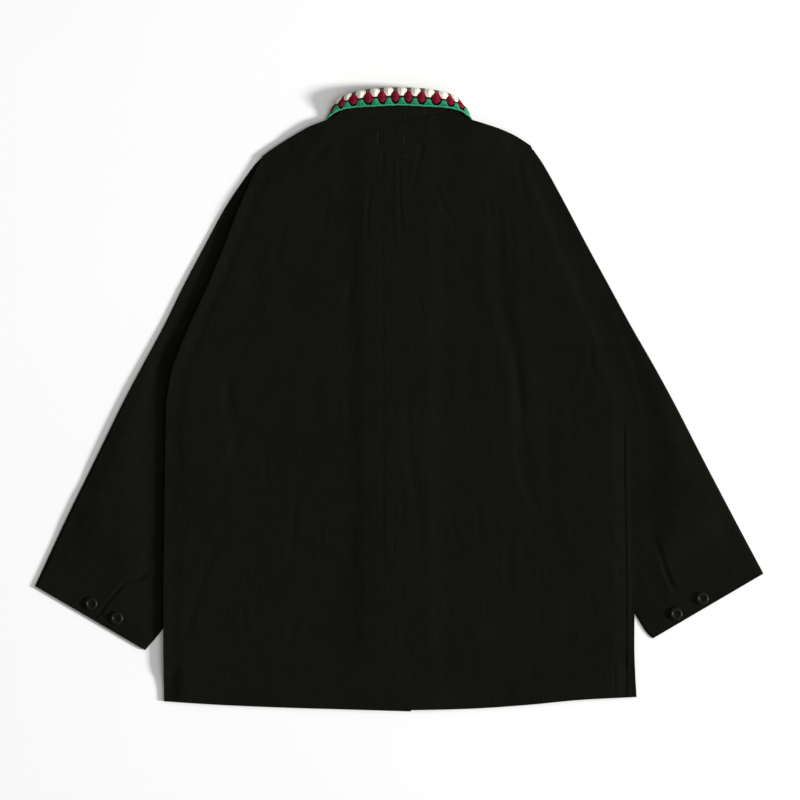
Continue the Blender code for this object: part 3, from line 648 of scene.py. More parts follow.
def shadedColour(tree, shader, shade, colour, low, high):
    # the colour times the shade, kept between two shares of it
    ramp = addNode(tree, "ShaderNodeMapRange")
    tree.links.new(shade, ramp.inputs["Value"])
    ramp.inputs["From Min"].default_value = low
    ramp.inputs["From Max"].default_value = high
    mix = addNode(tree, "ShaderNodeMix", data_type="RGBA")
    mix.inputs["A"].default_value = (*[channel * low for channel in colour], 1)
    mix.inputs["B"].default_value = (*[channel * high for channel in colour], 1)
    tree.links.new(ramp.outputs[0], mix.inputs["Factor"])
    tree.links.new(mix.outputs["Result"], shader.inputs["Base Color"])


def bumpFrom(tree, shader, height, distance, strength):
    bump = addNode(tree, "ShaderNodeBump")
    bump.inputs["Distance"].default_value = distance * mm
    bump.inputs["Strength"].default_value = strength
    tree.links.new(height, bump.inputs["Height"])
    tree.links.new(bump.outputs[0], shader.inputs["Normal"])


def clothMaterial(name, colour):
    material, tree, shader = newMaterial(name, 0.9, 0.025, 0.003)
    uv = addNode(tree, "ShaderNodeUVMap", uv_map="weave")
    place = addNode(tree, "ShaderNodeTexCoord")
    weave = addNode(tree, "ShaderNodeGroup", node_tree=weaveGroup)
    tree.links.new(uv.outputs[0], weave.inputs["Weave"])
    tree.links.new(place.outputs["Object"], weave.inputs["Place"])
    shadedColour(tree, shader, weave.outputs["Shade"], colour, 0.35, 1.75)
    bumpFrom(tree, shader, weave.outputs["Height"], 0.25, 0.5)
    rough = timesPlus(tree, weave.outputs["Fuzz"], 0.14, 0.82)
    tree.links.new(rough, shader.inputs["Roughness"])
    return material


def yarnMaterial(name, colour, plies=2.0, twist=0.42, specular=0.08, low=0.45, high=1.3):
    material, tree, shader = newMaterial(name, 0.85, specular, 0.015)
    uv = addNode(tree, "ShaderNodeUVMap", uv_map="strand")
    place = addNode(tree, "ShaderNodeTexCoord")
    strand = addNode(tree, "ShaderNodeGroup", node_tree=strandGroup)
    strand.inputs["Plies"].default_value = plies
    strand.inputs["Twist"].default_value = twist
    tree.links.new(uv.outputs[0], strand.inputs["Strand"])
    tree.links.new(place.outputs["Object"], strand.inputs["Place"])
    shadedColour(tree, shader, strand.outputs["Shade"], colour, low, high)
    bumpFrom(tree, shader, strand.outputs["Height"], 0.3, 0.7)
    return material


blackCotton = clothMaterial("blackCotton", (0.0055, 0.0054, 0.0037))
collarCotton = clothMaterial("collarCotton", (0.0062, 0.0061, 0.0043))
blackThread = yarnMaterial("blackThread", (0.0080, 0.0079, 0.0060), plies=3.0, twist=1.6, specular=0.1)
paleThread = yarnMaterial("paleThread", (0.060, 0.058, 0.051), plies=3.0, twist=1.6, specular=0.1)
print("materials ready")


# The collar: a black stand, and a fall that is crocheted on its outside
# along, inner end, crocheted edge, roll, tilt, seam to the back
collarStations = np.array([
    (0, 0, 427.2, 12, 0, 402, 14.5, 1.0, 0, 0, 380.6, 8.2),
    (39, -39, 425.4, 11.5, -37, 400.4, 14, 0.97, 0, -31, 384.8, 8.0),
    (65, -63, 420.5, 10.5, -66, 398.6, 12.5, 0.85, 14, -56, 391.0, 7.6),
    (88, -76, 413.5, 9.0, -86, 394.0, 9.6, 0.6, 42, -66.3, 393.8, 7.6),
    (104, -80, 406, 6.5, -98.5, 386.5, 5.2, 0.35, 88, -69, 399.0, 7.0),
    (114, -79, 400, 4.2, -101, 382.5, 3.0, 0.2, 130, -70, 396, 6.0),
    (124, -75.5, 393.5, 1.4, -102.5, 375, 0.9, 0.05, 168, -70, 390, 5.0),
    (140, -71, 383, 0, -107, 361, 0, 0.0, 180, -70, 380, 4.0),
    (172, -56, 353, 0, -92, 328, 0, 0.0, 180, -56, 350, 4.0),
    (200, -33, 331, 0, -56, 295, 0, 0.0, 180, -33, 330, 4.0),
    (226, -8, 322, 0, -14, 281, 0, 0.0, 180, -8, 320, 4.0),
], float)
collarShape = {"half": 226.0, "pitch": 18.7, "phase": 3.7, "width": 39.0, "baseHalf": 89.5}
collarRoll = {"innerRun": 3.5, "innerRise": 14, "outerRun": 10, "outerRise": 16.5, "steps": 12, "probe": 0.02}


def collarColumn(index, reach):
    keys, values = collarStations[:, 0], collarStations[:, index]
    low = np.maximum(np.arange(len(keys)) - 1, 0)
    high = np.minimum(np.arange(len(keys)) + 1, len(keys) - 1)
    slopes = (values[high] - values[low]) / (keys[high] - keys[low])
    if index not in (1, 4, 9):
        slopes[0] = 0
    spot = np.clip(np.searchsorted(keys, reach) - 1, 0, len(keys) - 2)
    span = keys[spot + 1] - keys[spot]
    t = np.clip((reach - keys[spot]) / span, 0, 1)
    return (
        values[spot] * (2 * t ** 3 - 3 * t ** 2 + 1) + slopes[spot] * span * (t ** 3 - 2 * t ** 2 + t)
        + values[spot + 1] * (3 * t ** 2 - 2 * t ** 3) + slopes[spot + 1] * span * (t ** 3 - t ** 2)
    )


def collarSection(distance, across, inward=0.0):
    # the collar's outside at places along and across it, and the seam to the back
    given = [np.asarray(part, float) for part in (distance, across, inward)]
    distance, across, inward = np.broadcast_arrays(*given)
    reach = np.minimum(np.abs(distance), collarShape["half"])
    kx, ky, kz, ex, ey, ez, roll, tilt, nx, ny, nz = [collarColumn(index, reach) for index in range(1, 12)]
    inner = np.stack([kx, ky, np.maximum(kz, 0)], axis=-1)
    edge = np.stack([ex, ey, np.maximum(ez, 0)], axis=-1)
    roll = np.maximum(roll, 0)[..., None]
    run = unit(inner - edge)
    flat = unit(run * np.array([1, 1, 0]))
    away = np.stack([-flat[..., 1], flat[..., 0], np.zeros_like(reach)], axis=-1)
    tilt = np.radians(tilt)[..., None]
    face = np.array([0, 0, 1]) * np.cos(tilt) + away * np.sin(tilt)
    third = (edge - inner) / 3 * (1 - roll)
    second = inner + third + run * collarRoll["innerRun"] * roll + face * collarRoll["innerRise"] * roll
    later = edge - third + run * collarRoll["outerRun"] * roll + face * collarRoll["outerRise"] * roll
    t = np.linspace(0, 1, collarRoll["steps"] + 1)[:, None]
    curve = (
        inner[..., None, :] * (1 - t) ** 3 + second[..., None, :] * 3 * t * (1 - t) ** 2
        + later[..., None, :] * 3 * t ** 2 * (1 - t) + edge[..., None, :] * t ** 3
    )
    steps = np.linalg.norm(np.diff(curve, axis=-2), axis=-1)
    reached = np.concatenate([np.zeros(steps.shape[:-1] + (1,)), np.cumsum(steps, axis=-1)], axis=-1)

    def profile(share):
        goal = np.clip(share, 0, 1)[..., None] * reached[..., -1:]
        index = np.clip((reached <= goal).sum(axis=-1) - 1, 0, collarRoll["steps"] - 1)[..., None]
        before = np.take_along_axis(reached, index, -1)
        part = (goal - before) / (np.take_along_axis(reached, index + 1, -1) - before + 1e-12)
        start = np.take_along_axis(curve, index[..., None], -2)[..., 0, :]
        end = np.take_along_axis(curve, index[..., None] + 1, -2)[..., 0, :]
        return start * (1 - part) + end * part

    ahead = profile(across + collarRoll["probe"]) - profile(across - collarRoll["probe"])
    face = unit(face - run * (face * run).sum(axis=-1, keepdims=True))
    outward = unit(
        run * (ahead * face).sum(axis=-1, keepdims=True) - face * (ahead * run).sum(axis=-1, keepdims=True)
    )
    spot = profile(across) - outward * inward[..., None]
    seam = np.stack([nx, ny, nz], axis=-1)
    mirror = np.where(distance > 0, -1.0, 1.0)[..., None] * np.array([1, 0, 0]) + np.array([0, 1, 1])
    return spot * mirror, seam * mirror


# The two halves of the back, lapped in a flat seam down the middle
backSeam = {
    "lap": 6.3, "step": 0.16, "stepEdge": (8, -4), "under": 0.02, "puckerLength": 8.5, "pucker": 0.12,
    "drift": 2.5, "driftLength": 31, "puckerWidth": 13, "rowDepth": 0.24, "rowWidth": 1.3,
}
seamRows = (centreBack["x"] - 3.6, centreBack["x"] + 3.2)
backGrid = {"columns": 164, "rows": 206, "thickness": 0.85, "crowding": 1.12}
hemFold = {"y": -384.0, "step": 0.3, "edge": (0.5, -2.5), "groove": 0.35, "grooveWidth": 1.8}
sideRidge = {
    "x": 311.5, "lean": 2.5, "leanYs": (-60, -300), "height": 0.7, "width": 2.2, "groove": 0.45,
    "grooveAway": 4.2, "grooveWidth": 1.5, "top": (-20, -50),
}
vent = {"x": 294.8, "depth": 1.0, "width": 1.1, "top": (-357, -363)}


def sideLine(side, inset=None):
    cut = bodyCut[side]
    way = 1 if side == "left" else -1
    points = [cut["hemCorner"], *zip(cut["sideXs"], sideYs), cut["shoulderTip"]]
    return smoothLine([(x + way * (inset(y) if inset else 0), y) for x, y in points])


def topLine(side, neckPoints, share):
    cut = bodyCut[side]
    shoulder = smoothLine([cut["shoulderTip"], *cut["shoulder"], cut["neckPoint"]])
    return joinedLine(shoulder, smoothLine([cut["neckPoint"], *neckPoints]), share)


def armholeInset(y):
    low = armhole["underarmY"]
    return float(armhole["inset"] * softStep(np.array(y, float), low - 4, low + 60))


def evenly(at):
    # crowds the grid's lines a little towards the side, where the edge is seen
    return at ** backGrid["crowding"]


def sewnDetail(x, y):
    # the fold of the hem, the pulled stitches along the middle seam, the side seam's ridge and its vent
    fromHem = y - hemFold["y"]
    hem = hemFold["step"] * faded(hemFold, edge=fromHem)
    hem = hem - hemFold["groove"] * bell(fromHem - 1, hemFold["grooveWidth"])
    drift = backSeam["drift"] * np.sin(y / backSeam["driftLength"])
    pull = np.sin(y * 2 * math.pi / backSeam["puckerLength"] + drift) * backSeam["pucker"]
    pull = pull * bell(x - centreBack["x"], backSeam["puckerWidth"])
    for row in seamRows:
        pull = pull - backSeam["rowDepth"] * bell(x - row, backSeam["rowWidth"])
    side = x - sideRidge["x"] - sideRidge["lean"] * faded(sideRidge, leanYs=y)
    ridge = sideRidge["height"] * bell(side, sideRidge["width"])
    ridge = ridge - sideRidge["groove"] * bell(side + sideRidge["grooveAway"], sideRidge["grooveWidth"])
    ridge = ridge * faded(sideRidge, top=y)
    slit = vent["depth"] * bell(x - vent["x"], vent["width"]) * faded(vent, top=y)
    return hem + pull + ridge - slit


def backPlan(side, seamX):
    cut = bodyCut[side]
    edge = sideLine(side)
    seam = collarSection([*cut["neckPlaces"], centreBack["neckPlace"]], 0.5)[1][:, :2]
    seam = seam + np.array([0, centreBack["neckRise"]])
    middleTop = (seamX, seam[-1, 1])
    top = topLine(side, [*map(tuple, seam[:-1]), middleTop], 0.66)
    hem = smoothLine([tuple(edge(np.zeros(1))[0]), *cut["backHem"], (seamX, centreBack["hemY"])])
    middle = smoothLine([(seamX, centreBack["hemY"]), middleTop])
    return stretched(hem, top, edge, middle)


def makeBack(side):
    laps = side == "right"
    seamX = centreBack["x"] + (-backSeam["lap"] if laps else 0.0)
    plan = backPlan(side, seamX)

    def place(u, v):
        spot = plan(evenly(u), v)
        x, y = spot[:, 0], spot[:, 1]
        top = backTop(x, y) + sewnDetail(x, y)
        lapEdge = seamX - backSeam["lap"]
        if laps:
            top = top + backSeam["step"] * faded(backSeam, stepEdge=x)
        else:
            top = top - backSeam["under"] * softStep(x, lapEdge - 3, lapEdge + 1)
        return np.stack([x, y, top], axis=-1), spot

    cloth = makeCloth(f"back_{side}_cloth", backGrid, place, turnedOver=laps)
    return finishPiece(cloth, blackCotton, f"back_{side}")


backs = {side: makeBack(side) for side in sides}
print("back made")


# The fronts, which lie under the back
frontGrid = {"columns": 62, "rows": 150, "thickness": 0.85, "meetingShare": 0.12, "mostRelief": 0.5}


def makeFront(side):
    cut = bodyCut[side]
    edge = sideLine(side, armholeInset)
    centreX = cut["frontEdgeX"]
    top = topLine(side, [*cut["frontNeck"], (centreX, centreBack["frontNeckY"])], 0.5)
    shift = edge(np.ones(1))[0] - top(np.zeros(1))[0]

    def meetingTop(part):
        return top(part) + shift * np.maximum(0, 1 - part / frontGrid["meetingShare"])[..., None]

    hem = smoothLine([tuple(edge(np.zeros(1))[0]), *cut["backHem"][:-1], (centreX, cut["frontHemY"])])
    middle = smoothLine([(centreX, cut["frontHemY"]), (centreX, centreBack["frontNeckY"])])
    plan = stretched(hem, meetingTop, edge, middle)

    def place(u, v):
        spot = plan(u, v)
        x, y = spot[:, 0], spot[:, 1]
        low = frontLift(x, y) + (placketStep(x) if side == "right" else 0)
        settled = np.clip(creaseRelief(frontCreases, x, y), 0, frontGrid["mostRelief"])
        return np.stack([x, y, low + frontGrid["thickness"] + settled], axis=-1), spot

    cloth = makeCloth(f"front_{side}_cloth", frontGrid, place, turnedOver=side == "right")
    return finishPiece(cloth, blackCotton, f"front_{side}")


fronts = {side: makeFront(side) for side in sides}
print("fronts made")


# The sleeves: pressed tubes, open at the cuff and where they join the body
sleeveGrid = {
    "columns": 132, "rows": 236, "thickness": 0.7, "foldReach": 2.6, "cut": {"left": 0.1336, "right": 0.1232},
}


def makeSleeve(side):
    cut = sleeveCut[side]
    way = 1 if side == "left" else -1
    outer = smoothLine([cut["cuffOuter"], *zip(cut["outerXs"], outerYs), cut["top"]])
    frontEdge = sideLine(side, armholeInset)
    shares = np.arange(armhole["bodyRows"] + 1) / armhole["bodyRows"]
    joint = frontEdge(shares) - np.array([way * armhole["gap"], 0])
    joint = joint[joint[:, 1] > armhole["underarmY"]]
    under = smoothLine([cut["cuffInner"], *zip(cut["innerXs"], innerYs), tuple(joint[0])])
    underShares = np.arange(armhole["sleeveRows"]) / armhole["sleeveRows"]
    inner = np.vstack([under(underShares), joint])
    innerShares = np.arange(len(inner)) / (len(inner) - 1)
    openFrom = armhole["sleeveRows"] / (len(inner) - 1)

    def place(u, v):
        start = outer(v)
        smooth = under(v / openFrom)
        straight = np.stack([np.interp(v, innerShares, inner[:, axis]) for axis in (0, 1)], axis=-1)
        end = np.where((v <= openFrom)[:, None], smooth, straight)
        run = end - start
        width = np.linalg.norm(run, axis=1)
        # u runs from the inner fold over the top to the outer fold, and back along the underside
        round01 = np.abs(1 - 2 * u)
        across = round01 * width
        fold = sleeveGrid["foldReach"]
        rise = np.sqrt(np.clip(1 - (1 - np.clip(np.minimum(across, width - across) / fold, 0, 1)) ** 2, 0, 1))
        openEdge = (v > openFrom + 0.001) & (across > width / 2)
        rise = np.where(openEdge, 1.0, rise)
        spot = start + run / width[:, None] * across[:, None]
        top = sleeveTop(spot[:, 0], spot[:, 1])
        half = top / 2
        upper = u < 0.5
        z = np.where(upper, half + half * rise, half - half * rise)
        weave = np.stack([np.where(upper, across, -across), v * outer.length], axis=-1)
        return np.stack([spot[:, 0], spot[:, 1], z], axis=-1), weave

    cloth = makeCloth(f"sleeve_{side}_cloth", sleeveGrid, place, turnedOver=side == "left", mergeSeam=True)
    return finishPiece(cloth, blackCotton, f"sleeve_{side}")


sleeves = {side: makeSleeve(side) for side in sides}
print("sleeves made")


# The collar's cloth: a stand that turns at its top and backs the crochet
baseShape = {
    "columns": 220, "rows": 60, "thickness": 0.85, "standShare": 0.42, "backing": (0.03, 0.86), "inward": 4.5,
    "tuck": (-4.5, -1.3), "cutWidth": 85, "sag": 0.25, "sagLength": 23,
}
gathers = {
    "count": 10, "span": 76.0, "height": 0.36, "drift": 0.8, "driftLength": 9, "second": 0.35,
    "secondTurns": 2.3, "middle": 5, "reach": (52, 26), "top": (0.62, 0.1), "least": 0.6, "uneven": 0.4,
    "unevenLength": 6.3,
}
# the sheet under the crochet strands, which carries painted shade in the gaps between them
gapShadeSheetShape = {"columns": 240, "rows": 26, "thickness": 0.9, "start": 0.01, "reach": 0.97, "inward": 2.95}


def gatherWave(distance, share):
    turns = 2 * math.pi * gathers["count"] * distance / gathers["span"]
    wave = np.cos(turns + gathers["drift"] * np.sin(distance / gathers["driftLength"]))
    wave = wave + gathers["second"] * np.cos(turns * gathers["secondTurns"] + 1)
    wave = wave * faded(gathers, reach=np.abs(distance - gathers["middle"]), top=share)
    return wave * (gathers["least"] + gathers["uneven"] * np.sin(distance / gathers["unevenLength"] + 1))


def makeCollarBase():
    def place(u, v):
        distance = (2 * u - 1) * collarShape["baseHalf"]
        start, end = baseShape["backing"]
        backingShare = np.clip((v - baseShape["standShare"]) / (1 - baseShape["standShare"]), 0, 1)
        backing = collarSection(distance, start + (end - start) * backingShare, baseShape["inward"])[0]
        foot, seam = collarSection(distance, np.full_like(distance, start), baseShape["inward"])
        seam = seam + np.array([0, *baseShape["tuck"]])
        share = np.clip(v / baseShape["standShare"], 0, 1)[:, None]
        stand = seam * (1 - share) + foot * share
        stand[:, 2] = seam[:, 2] + (foot[:, 2] - seam[:, 2]) * share[:, 0] ** 3
        stand[:, 2] += gathers["height"] * (gatherWave(distance, share[:, 0]) * 0.5 + 0.3)
        stand[:, 2] += baseShape["sag"] * np.sin(distance / baseShape["sagLength"]) * (1 - share[:, 0])
        spot = np.where((v < baseShape["standShare"])[:, None], stand, backing)
        return spot, np.stack([distance, v * baseShape["cutWidth"]], axis=-1)

    cloth = makeCloth("collar_base_cloth", baseShape, place)
    return finishPiece(cloth, collarCotton, "collar_base")


def makeGapShadeSheet():
    # a dark sheet just under the strands, darker than the black cloth: painted shade that shows in the gaps
    # between them
    def place(u, v):
        distance = (2 * u - 1) * collarShape["half"]
        share = gapShadeSheetShape["start"] + gapShadeSheetShape["reach"] * v
        spot = collarSection(distance, share, gapShadeSheetShape["inward"])[0]
        return spot, np.stack([distance, v * collarShape["width"]], axis=-1)

    gapShadeSheet = makeCloth("crochet_gap_shade", gapShadeSheetShape, place)
    return finishPiece(gapShadeSheet, darkYarnAndGapShade, "crochet_collar")


def strandPiece(name, strands, material):
    # each strand is its places along the collar, across it and below its outside, and its radii
    lengths = np.cumsum([len(strand[0]) for strand in strands])[:-1]
    distance, across, inward, radii = [np.concatenate(parts) for parts in zip(*strands)]
    distance = np.clip(distance, -collarShape["half"], collarShape["half"])
    spots = collarSection(distance, np.clip(across, 0, 1), inward)[0]
    spots[:, 2] = np.maximum(spots[:, 2], radii)
    tubes = [(points, thick, 6) for points, thick in zip(np.split(spots, lengths), np.split(radii, lengths))]
    return finishPiece(tubesMesh(name, tubes), material, "crochet_collar")


def shellCentres(phase):
    count = int(collarShape["half"] // collarShape["pitch"]) + 1
    centres = collarShape["phase"] + (np.arange(-count, count + 1) + phase) * collarShape["pitch"]
    return centres[np.abs(centres) < collarShape["half"] - 5]


# the fans of each colour: where they start and end across the collar, their half spread there
# (or at the start, the middle and the end), how many strands, and how these lie and bulge
fans = {
    "cream": [
        {"start": 0.05, "end": 0.55, "widths": (1.6, 5.6), "count": 7, "depth": 1.8, "radius": 1.12,
         "power": 0.6, "puff": 0.9, "sway": 0.25},
        {"start": 0.10, "end": 0.52, "widths": (0.9, 3.2), "count": 5, "depth": 1.4, "radius": 1.05,
         "power": 0.7, "puff": 1.3, "sway": 0.35},
    ],
    "green": [
        {"start": 0.625, "end": 0.945, "widths": (1.6, 3.4, 6.1), "count": 6, "depth": 1.5, "radius": 0.86,
         "puff": 0.75, "sway": 0.4},
    ],
    "burgundy": [
        {"start": 0.33, "end": 0.80, "widths": (0.6, 5.4), "count": 7, "depth": 1.6, "radius": 1.1,
         "power": 0.9, "puff": 0.55, "sway": 0.2},
        {"start": 0.36, "end": 0.78, "widths": (0.4, 3.2), "count": 4, "depth": 1.25, "radius": 0.95,
         "power": 1.05, "puff": 0.85, "sway": 0.5},
    ],
    "brown": [
        {"start": 0.05, "end": 0.37, "widths": (4.4, 2.5, 0.7), "count": 5, "depth": 1.5, "radius": 1.0,
         "puff": 0.6, "points": 7},
    ],
}
strandForm = {"flatEdge": 0.55, "endShare": 0.82, "uneven": 0.06}
crossBars = {
    "count": 5, "first": 0.43, "pitch": 0.072, "reach": 4.2, "start": 0.32, "length": 0.50, "slant": 0.022,
    "depth": 0.75, "bend": 0.45, "radius": 0.72,
}
linkRows = {"rows": [(0.585, 0.9), (0.605, 1.5), (0.06, 2.4)], "wave": 0.012, "radius": 0.85, "points": 330}
edging = {
    "stitch": 3.12, "overlap": 1.18, "row": 0.96, "spread": 0.02, "turn": 0.72, "sway": 0.008,
    "swayLength": 2.3, "depth": 1.15, "rise": 0.35, "radius": 0.64, "cordRow": 0.975, "cordDepth": 1.9,
    "cordRadius": 0.8, "cordPoints": 420,
}


def fanStrands(centre, start, end, widths, count, depth, radius, puff, power=1.0, points=9, sway=0.0):
    # strands side by side from one row to the next
    share = np.linspace(0, 1, points)
    arch = np.sin(math.pi * share)
    if len(widths) == 3:
        spread = np.interp(share, [0, 0.5, 1], widths)
    else:
        spread = widths[0] + (widths[1] - widths[0]) * arch ** power
    made = []
    for index in range(count):
        side = 2 * index / (count - 1) - 1
        lean = sway * math.sin(centre * 1.7 + index * 2.3)
        along = centre + side * spread + lean * arch
        rise = puff * arch * (1 - strandForm["flatEdge"] * side * side)
        across = start + (end - start) * share
        thick = radius * (strandForm["endShare"] + (1 - strandForm["endShare"]) * arch)
        thick = thick * (1 + strandForm["uneven"] * math.sin(index * 5 + centre))
        made.append((along, across, depth - rise, thick))
    return made


def fanRow(centre, colour):
    return [strand for fan in fans[colour] for strand in fanStrands(centre, **fan)]


def barStrands(centre):
    # short stitches across a burgundy fan
    made = []
    bar = np.linspace(-1, 1, 5)
    for step in range(crossBars["count"]):
        middle = crossBars["first"] + step * crossBars["pitch"]
        reach = crossBars["reach"] * math.sin(math.pi * (middle - crossBars["start"]) / crossBars["length"])
        depth = crossBars["depth"] + crossBars["bend"] * bar ** 2
        radii = np.full(5, crossBars["radius"])
        made.append((centre + bar * reach, middle + bar * crossBars["slant"], depth, radii))
    return made


def linkStrands():
    made = []
    count = linkRows["points"]
    for row, depth in linkRows["rows"]:
        along = np.linspace(-collarShape["half"], collarShape["half"], count)
        turn = 2 * math.pi * (along - collarShape["phase"]) / collarShape["pitch"]
        across = row + linkRows["wave"] * np.cos(turn)
        made.append((along, across, np.full(count, depth), np.full(count, linkRows["radius"])))
    return made


def edgingStrands():
    # a chain of stitches over a cord
    made = []
    stitch = edging["stitch"]
    share = np.linspace(0, 1, 5)
    for index in range(int(2 * collarShape["half"] / stitch) - 1):
        start = -collarShape["half"] + (index + 0.5) * stitch
        sway = edging["sway"] * math.sin(start / edging["swayLength"])
        for way in (-1, 1):
            along = start + share * stitch * edging["overlap"]
            across = edging["row"] + way * edging["spread"] * np.sin(math.pi * share * edging["turn"]) + sway
            depth = edging["depth"] - edging["rise"] * np.sin(math.pi * share)
            made.append((along, across, depth, np.full(5, edging["radius"])))
    count = edging["cordPoints"]
    along = np.linspace(-collarShape["half"], collarShape["half"], count)
    across = edging["cordRow"] + 0.008 * np.sin(along * 2.1) + 0.01 * np.sin(along / 2.9)
    made.append((along, across, np.full(count, edging["cordDepth"]), np.full(count, edging["cordRadius"])))
    return made


def makeCrochet():
    creams, burgundies, browns, greens = [], [], [], []
    for centre in shellCentres(0.0):
        creams += fanRow(centre, "cream")
        greens += fanRow(centre, "green")
    for centre in shellCentres(0.5):
        burgundies += fanRow(centre, "burgundy") + barStrands(centre)
        browns += fanRow(centre, "brown")
    pieces = [makeGapShadeSheet()]
    for name, strands, material in (
        ("crochet_cream", creams, creamYarn), ("crochet_burgundy", burgundies, burgundyYarn),
        ("crochet_brown", browns, brownYarn), ("crochet_green", greens, greenYarn),
        ("crochet_links", linkStrands(), darkYarnAndGapShade), ("crochet_edging", edgingStrands(), edgingYarn),
    ):
        pieces.append(strandPiece(name, strands, material))
    return pieces


creamYarn = yarnMaterial("creamYarn", (0.93, 0.86, 0.73), low=0.8, high=1.06)
burgundyYarn = yarnMaterial("burgundyYarn", (0.19, 0.006, 0.022))
brownYarn = yarnMaterial("brownYarn", (0.13, 0.078, 0.056))
greenYarn = yarnMaterial("greenYarn", (0.020, 0.32, 0.145), low=0.35, high=1.45)
edgingYarn = yarnMaterial("edgingYarn", (0.055, 0.38, 0.20))
# one dark colour for the yarn of the link rows and for the painted shade of the sheet under the strands
darkYarnAndGapShade = yarnMaterial("darkYarnAndGapShade", (0.0035, 0.0032, 0.0028), specular=0.05)
collarBase = makeCollarBase()
crochet = makeCrochet()
print("collar made")


# Cuffs: a strip along each slit, and the buttons
cuffShape = {
    "left": [(-414, -300), (-387, -316), (-377, -251), (-350, -265)],
    "right": [(402, -292), (376, -308), (371, -242), (346, -256)],
    "columns": 30, "rows": 66, "thickness": 0.8, "size": (28, 66), "rise": 0.75,
    "fallAcross": (1.0, 0.45), "fallAlong": (1.0, 0.72),
    "groove": 0.12, "groovePlace": 3.2, "grooveWidth": 0.8, "edgeFall": 0.35, "edgeShare": 0.12,
}
buttonShape = {
    "sides": 48,
    "rings": [
        (0.0, 7.4), (0.8, 8.6), (1.5, 9.0), (2.1, 8.8), (2.7, 8.2), (3.15, 7.3), (3.4, 6.2), (3.3, 5.4),
        (2.7, 4.7), (2.2, 4.1), (2.05, 3.0),
    ],
    "holes": 1.9, "holeRadius": 1.15, "bevel": 0.12, "hiddenScale": 0.88, "hiddenTop": 3.0,
}
threadShape = {"share": 0.72, "passes": (-0.35, 0.35), "top": 2.6, "dip": 1.9, "radius": 0.3}
buttonSpots = {
    "cuff_button_left_1": (-422, -279), "cuff_button_left_2": (-387, -299),
    "cuff_button_right_1": (415, -272), "cuff_button_right_2": (379, -293),
}
frontButtonYs = [262, 132, 2, -128, -258]


def makeFlap(side):
    low, far, high, highFar = [np.array(spot, float) for spot in cuffShape[side]]
    width, length = cuffShape["size"]

    def place(u, v):
        a, b = u[:, None], v[:, None]
        spot = (low * (1 - a) + far * a) * (1 - b) + (high * (1 - a) + highFar * a) * b
        # it stands up along the slit and runs out into the sleeve on its other sides
        rise = cuffShape["rise"] * faded(cuffShape, fallAcross=u, fallAlong=v)
        groove = cuffShape["groove"] * bell(u * width - cuffShape["groovePlace"], cuffShape["grooveWidth"])
        z = sleeveTop(spot[:, 0], spot[:, 1]) + rise - groove
        z = z - cuffShape["edgeFall"] * softStep(np.minimum(1 - u, 1 - v), cuffShape["edgeShare"], 0.0)
        return np.stack([spot[:, 0], spot[:, 1], z], axis=-1), np.stack([u * width, v * length], axis=-1)

    cloth = makeCloth(f"cuff_flap_{side}_cloth", cuffShape, place, turnedOver=side == "right")
    return finishPiece(cloth, blackCotton, f"cuff_flap_{side}")


flaps = {side: makeFlap(side) for side in sides}


def makeButton():
    # turned by extruding one ring after another, then drilled
    bpy.ops.object.select_all(action="DESELECT")
    rings = buttonShape["rings"]
    bpy.ops.mesh.primitive_circle_add(
        vertices=buttonShape["sides"], radius=rings[0][1] * mm, fill_type="NGON"
    )
    button = bpy.context.object
    bpy.ops.object.mode_set(mode="EDIT")
    bpy.ops.mesh.select_all(action="SELECT")
    for (low, before), (high, after) in zip(rings, rings[1:]):
        bpy.ops.mesh.extrude_region_move(TRANSFORM_OT_translate={"value": (0, 0, (high - low) * mm)})
        bpy.ops.transform.resize(value=(after / before, after / before, 1))
    bpy.ops.mesh.select_all(action="SELECT")
    bpy.ops.mesh.normals_make_consistent(inside=False)
    bpy.ops.object.mode_set(mode="OBJECT")
    drills = []
    for turn in range(4):
        angle = math.pi / 4 + turn * math.pi / 2
        place = [buttonShape["holes"] * mm * part for part in (math.cos(angle), math.sin(angle))]
        bpy.ops.mesh.primitive_cylinder_add(
            vertices=16, radius=buttonShape["holeRadius"] * mm, depth=0.012, location=(*place, 0)
        )
        drills.append(bpy.context.object)
    bpy.ops.object.select_all(action="DESELECT")
    for drill in drills:
        drill.select_set(True)
    bpy.context.view_layer.objects.active = drills[0]
    bpy.ops.object.join()
    cut = button.modifiers.new("holes", "BOOLEAN")
    cut.operation = "DIFFERENCE"
    cut.object = drills[0]
    cut.solver = "EXACT"
    bpy.context.view_layer.objects.active = button
    bpy.ops.object.modifier_apply(modifier="holes")
    bpy.data.objects.remove(drills[0])
    bevel = button.modifiers.new("softened", "BEVEL")
    bevel.width = buttonShape["bevel"] * mm
    bevel.segments = 2
    bevel.limit_method = "ANGLE"
    bevel.angle_limit = math.radians(40)
    bpy.ops.object.modifier_apply(modifier="softened")
    bpy.ops.object.select_all(action="DESELECT")
    button.select_set(True)
    bpy.ops.object.shade_smooth_by_angle(angle=math.radians(35))
    return button


def buttonMaterial():
    material, tree, shader = newMaterial("blackPlastic", 0.3, 0.1)
    place = addNode(tree, "ShaderNodeTexCoord")
    cloudy = noiseNode(tree, place.outputs["Object"], 260.0, 4.0, 0.6)
    fine = noiseNode(tree, place.outputs["Object"], 2200.0, 2.0, 0.6)
    shade = timesPlus(tree, cloudy, 0.9, 0.55)
    shadedColour(tree, shader, shade, (0.0062, 0.0060, 0.0044), 0.6, 1.5)
    rough = timesPlus(tree, fine, 0.2, 0.27)
    tree.links.new(rough, shader.inputs["Roughness"])
    bumpFrom(tree, shader, fine, 0.05, 0.4)
    return material


def spun(x, y, angle):
    return x * math.cos(angle) - y * math.sin(angle), x * math.sin(angle) + y * math.cos(angle)


